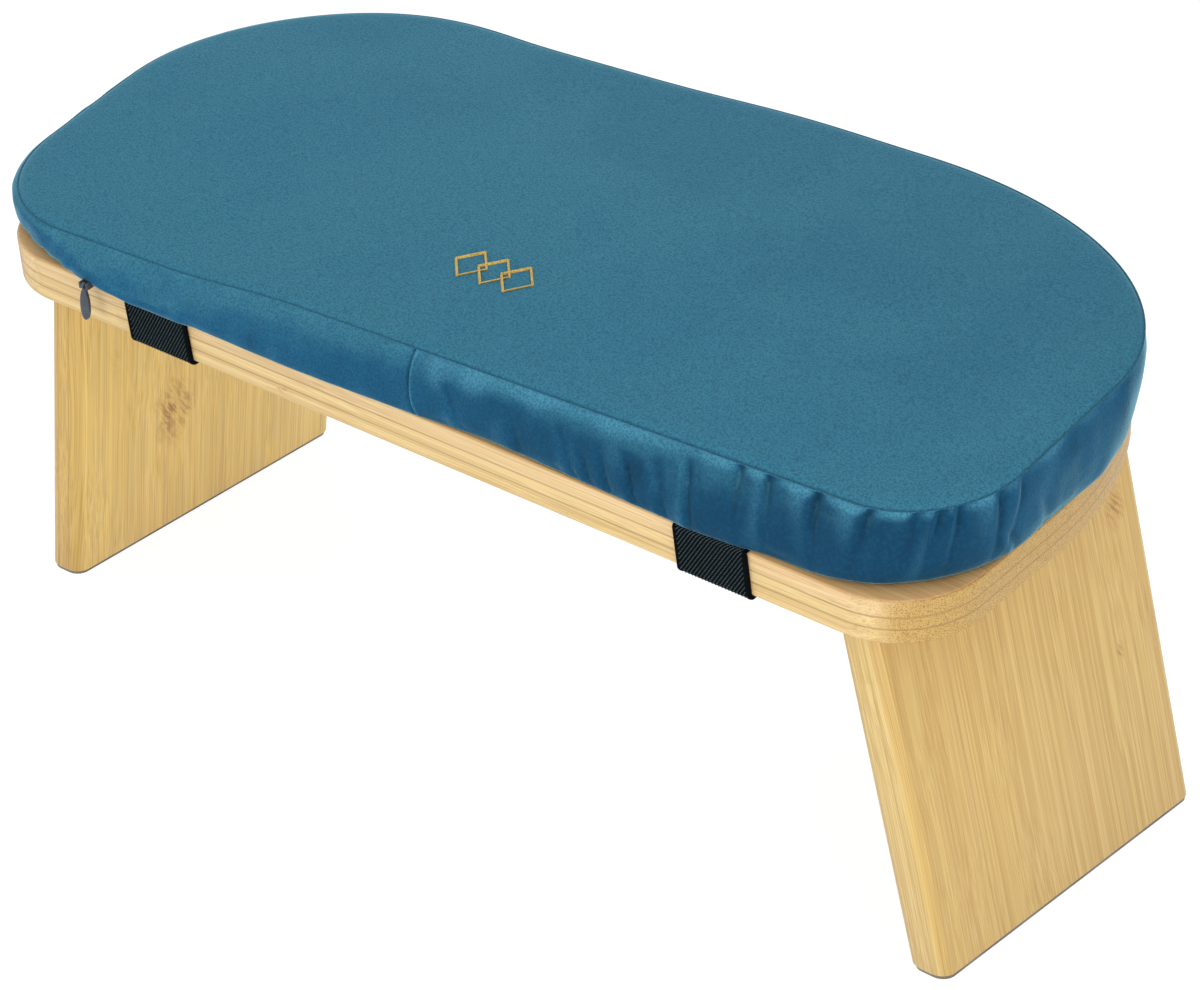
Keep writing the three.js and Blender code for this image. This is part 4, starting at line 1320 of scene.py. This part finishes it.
def strap_weave(side, path):
    """Ribs grown on one tiny face at each cell, with the direction that the cell faces."""
    cells_across = round((STRAP_WIDTH - 2 * SELVEDGE_WIDTH) / RIB_PITCH_ACROSS)
    size = RIB_PITCH_ALONG / 8
    turn = SEAT.to_3x3()
    aside = turn @ Vector((1, 0, 0))
    corners = []
    directions = []
    for i, (y, z, facing_y, facing_z) in enumerate(path):
        direction = turn @ Vector((0.0, facing_y, facing_z))
        upwards = direction.cross(aside)
        middle_x = STRAP_MIDDLES[side] + strap_lean(z)
        for k in range(cells_across):
            x = middle_x + (k + 0.25 + 0.5 * (i % 2) - cells_across / 2) * RIB_PITCH_ACROSS
            middle = SEAT @ Vector((x, y - facing_y * WEAVE_SINK, z - facing_z * WEAVE_SINK))
            for a, b in ((-1, -1), (1, -1), (1, 1), (-1, 1)):
                corners.append(tuple(middle + aside * a * size + upwards * b * size))
            directions.append(tuple(direction))
    mesh = bpy.data.meshes.new("rib_places")
    mesh.from_pydata(corners, [], [range(k, k + 4) for k in range(0, len(corners), 4)])
    attribute = mesh.attributes.new("facing", "FLOAT_VECTOR", "FACE")
    attribute.data.foreach_set("vector", np.array(directions, np.float32).ravel())
    grown(f"{side}_strap_weave", mesh, WEAVE, RIB, black_yarn, "elastic")


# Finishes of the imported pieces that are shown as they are, by the start of their names
KEPT_FINISHES = (
    ("hinge_", steel, "hinge_steel"), ("screw_", steel, "screw_steel"),
    ("zip_puller", zip_grey, "zip_grey"), ("zip_slider", zip_grey, "zip_grey"))


def assign_kept_nodes():
    for name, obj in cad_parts.items():
        for start, finish, slot in KEPT_FINISHES:
            if name.startswith(start):
                obj.data.materials.clear()
                obj.data.materials.append(finish)


board_piece()
for side, sign in SIDES.items():
    leg_pieces(side, sign)
    strap_core(side, strap_path())
    strap_weave(side, strap_path())
cover, cover_grid, seam_row = cushion_cover()
seam_stitches(cover_grid, seam_row)
zip_row()
embroidery(cover)
assign_kept_nodes()

# Stage: floor, world, and lamps with their place, aim, size and power
STAGE_SIZE = 6.0
FLOOR_GLOW = 0.91
FLOOR_LEVEL = -0.0001
FLOOR_PAPER = (0.88, 0.88, 0.88, 1.0)
FLOOR_SEEN = (0.20, 0.20, 0.20, 1.0)
WHITE = (1.0, 1.0, 1.0, 1.0)
WORLD_LIGHT = 0.79
LAMPS = (
    ("front", (-0.5, -1.8, 0.6), (0, 0, 0.1), 1.2, 5.5),
    ("low front", (1.0, -0.85, 0.14), (-0.18, 0, 0.07), 1.0, 6.4),
    ("top", (0.2, 0.3, 1.8), (0, 0, 0.1), 1.2, 5.0),
)

# Camera, fitted to the photo
CAMERA_TURN = math.radians(39.49)
CAMERA_HEIGHT = math.radians(30.23)
CAMERA_DISTANCE = 1.6497
CAMERA_AIM = Vector((0.00672, 0.00473, 0.08135))
CAMERA_LENS = 128.76
CAMERA_SENSOR = 36.0
CAMERA_SHIFT = 0.0022
CAMERA_NEAR = 0.05


def emptied(owner):
    owner.use_nodes = True
    owner.node_tree.nodes.clear()
    return Nodes(owner.node_tree)


def stage_floor():
    """Pale floor, white to the camera, that still takes the bench's shadow."""
    material = bpy.data.materials.new("studio floor")
    n = emptied(material)
    paper = n.add("ShaderNodeBsdfDiffuse", {"Color": FLOOR_PAPER}).outputs[0]
    seen = n.add("ShaderNodeBsdfDiffuse", {"Color": FLOOR_SEEN}).outputs[0]
    glow = n.add("ShaderNodeEmission", {"Color": WHITE, "Strength": FLOOR_GLOW}).outputs[0]
    lit = n.add("ShaderNodeAddShader", {0: seen, 1: glow}).outputs[0]
    path = n.add("ShaderNodeLightPath").outputs
    shown = n.math("MAXIMUM", path["Is Camera Ray"], path["Is Glossy Ray"])
    shown = n.math("MAXIMUM", shown, path["Is Transmission Ray"])
    face = n.add("ShaderNodeMixShader", {0: shown, 1: paper, 2: lit}).outputs[0]
    below = n.add("ShaderNodeNewGeometry").outputs["Backfacing"]
    clear = n.add("ShaderNodeBsdfTransparent").outputs[0]
    both = n.add("ShaderNodeMixShader", {0: below, 1: face, 2: clear}).outputs[0]
    n.put(both, n.add("ShaderNodeOutputMaterial").inputs["Surface"])
    mesh = bpy.data.meshes.new("floor")
    half = STAGE_SIZE / 2
    mesh.from_pydata([(a * half, b * half, FLOOR_LEVEL) for a, b in CORNERS], [], [(0, 1, 2, 3)])
    mesh.materials.append(material)
    linked("floor", mesh)


def world_light():
    """Soft light from all round, white to the camera."""
    world = bpy.data.worlds.new("studio")
    bpy.context.scene.world = world
    n = emptied(world)
    path = n.add("ShaderNodeLightPath").outputs
    shown = n.math("MAXIMUM", path["Is Camera Ray"], path["Is Transmission Ray"])
    soft, white = [
        n.add("ShaderNodeBackground", {"Color": WHITE, "Strength": strength}).outputs[0]
        for strength in (WORLD_LIGHT, 1.0)]
    mixed = n.add("ShaderNodeMixShader", {0: shown, 1: soft, 2: white}).outputs[0]
    n.put(mixed, n.add("ShaderNodeOutputWorld").inputs["Surface"])


def area_light(name, place, aim, size, power):
    data = bpy.data.lights.new(name, "AREA")
    data.shape = "DISK"
    data.size = size
    data.energy = power
    lamp = linked(name, data)
    lamp.location = place
    lamp.rotation_euler = (Vector(place) - Vector(aim)).to_track_quat("Z", "Y").to_euler()


def studio_camera():
    data = bpy.data.cameras.new("camera")
    data.lens = CAMERA_LENS
    data.sensor_width = CAMERA_SENSOR
    data.shift_x = CAMERA_SHIFT
    data.clip_start = CAMERA_NEAR
    camera = linked("camera", data)
    level = math.cos(CAMERA_HEIGHT)
    back = Vector((math.sin(CAMERA_TURN) * level, -math.cos(CAMERA_TURN) * level, math.sin(CAMERA_HEIGHT)))
    camera.location = CAMERA_AIM + back * CAMERA_DISTANCE
    camera.rotation_euler = back.to_track_quat("Z", "Y").to_euler()
    bpy.context.scene.camera = camera


stage_floor()
world_light()
for lamp in LAMPS:
    area_light(*lamp)
studio_camera()
bpy.context.scene.view_settings.view_transform = "Standard"
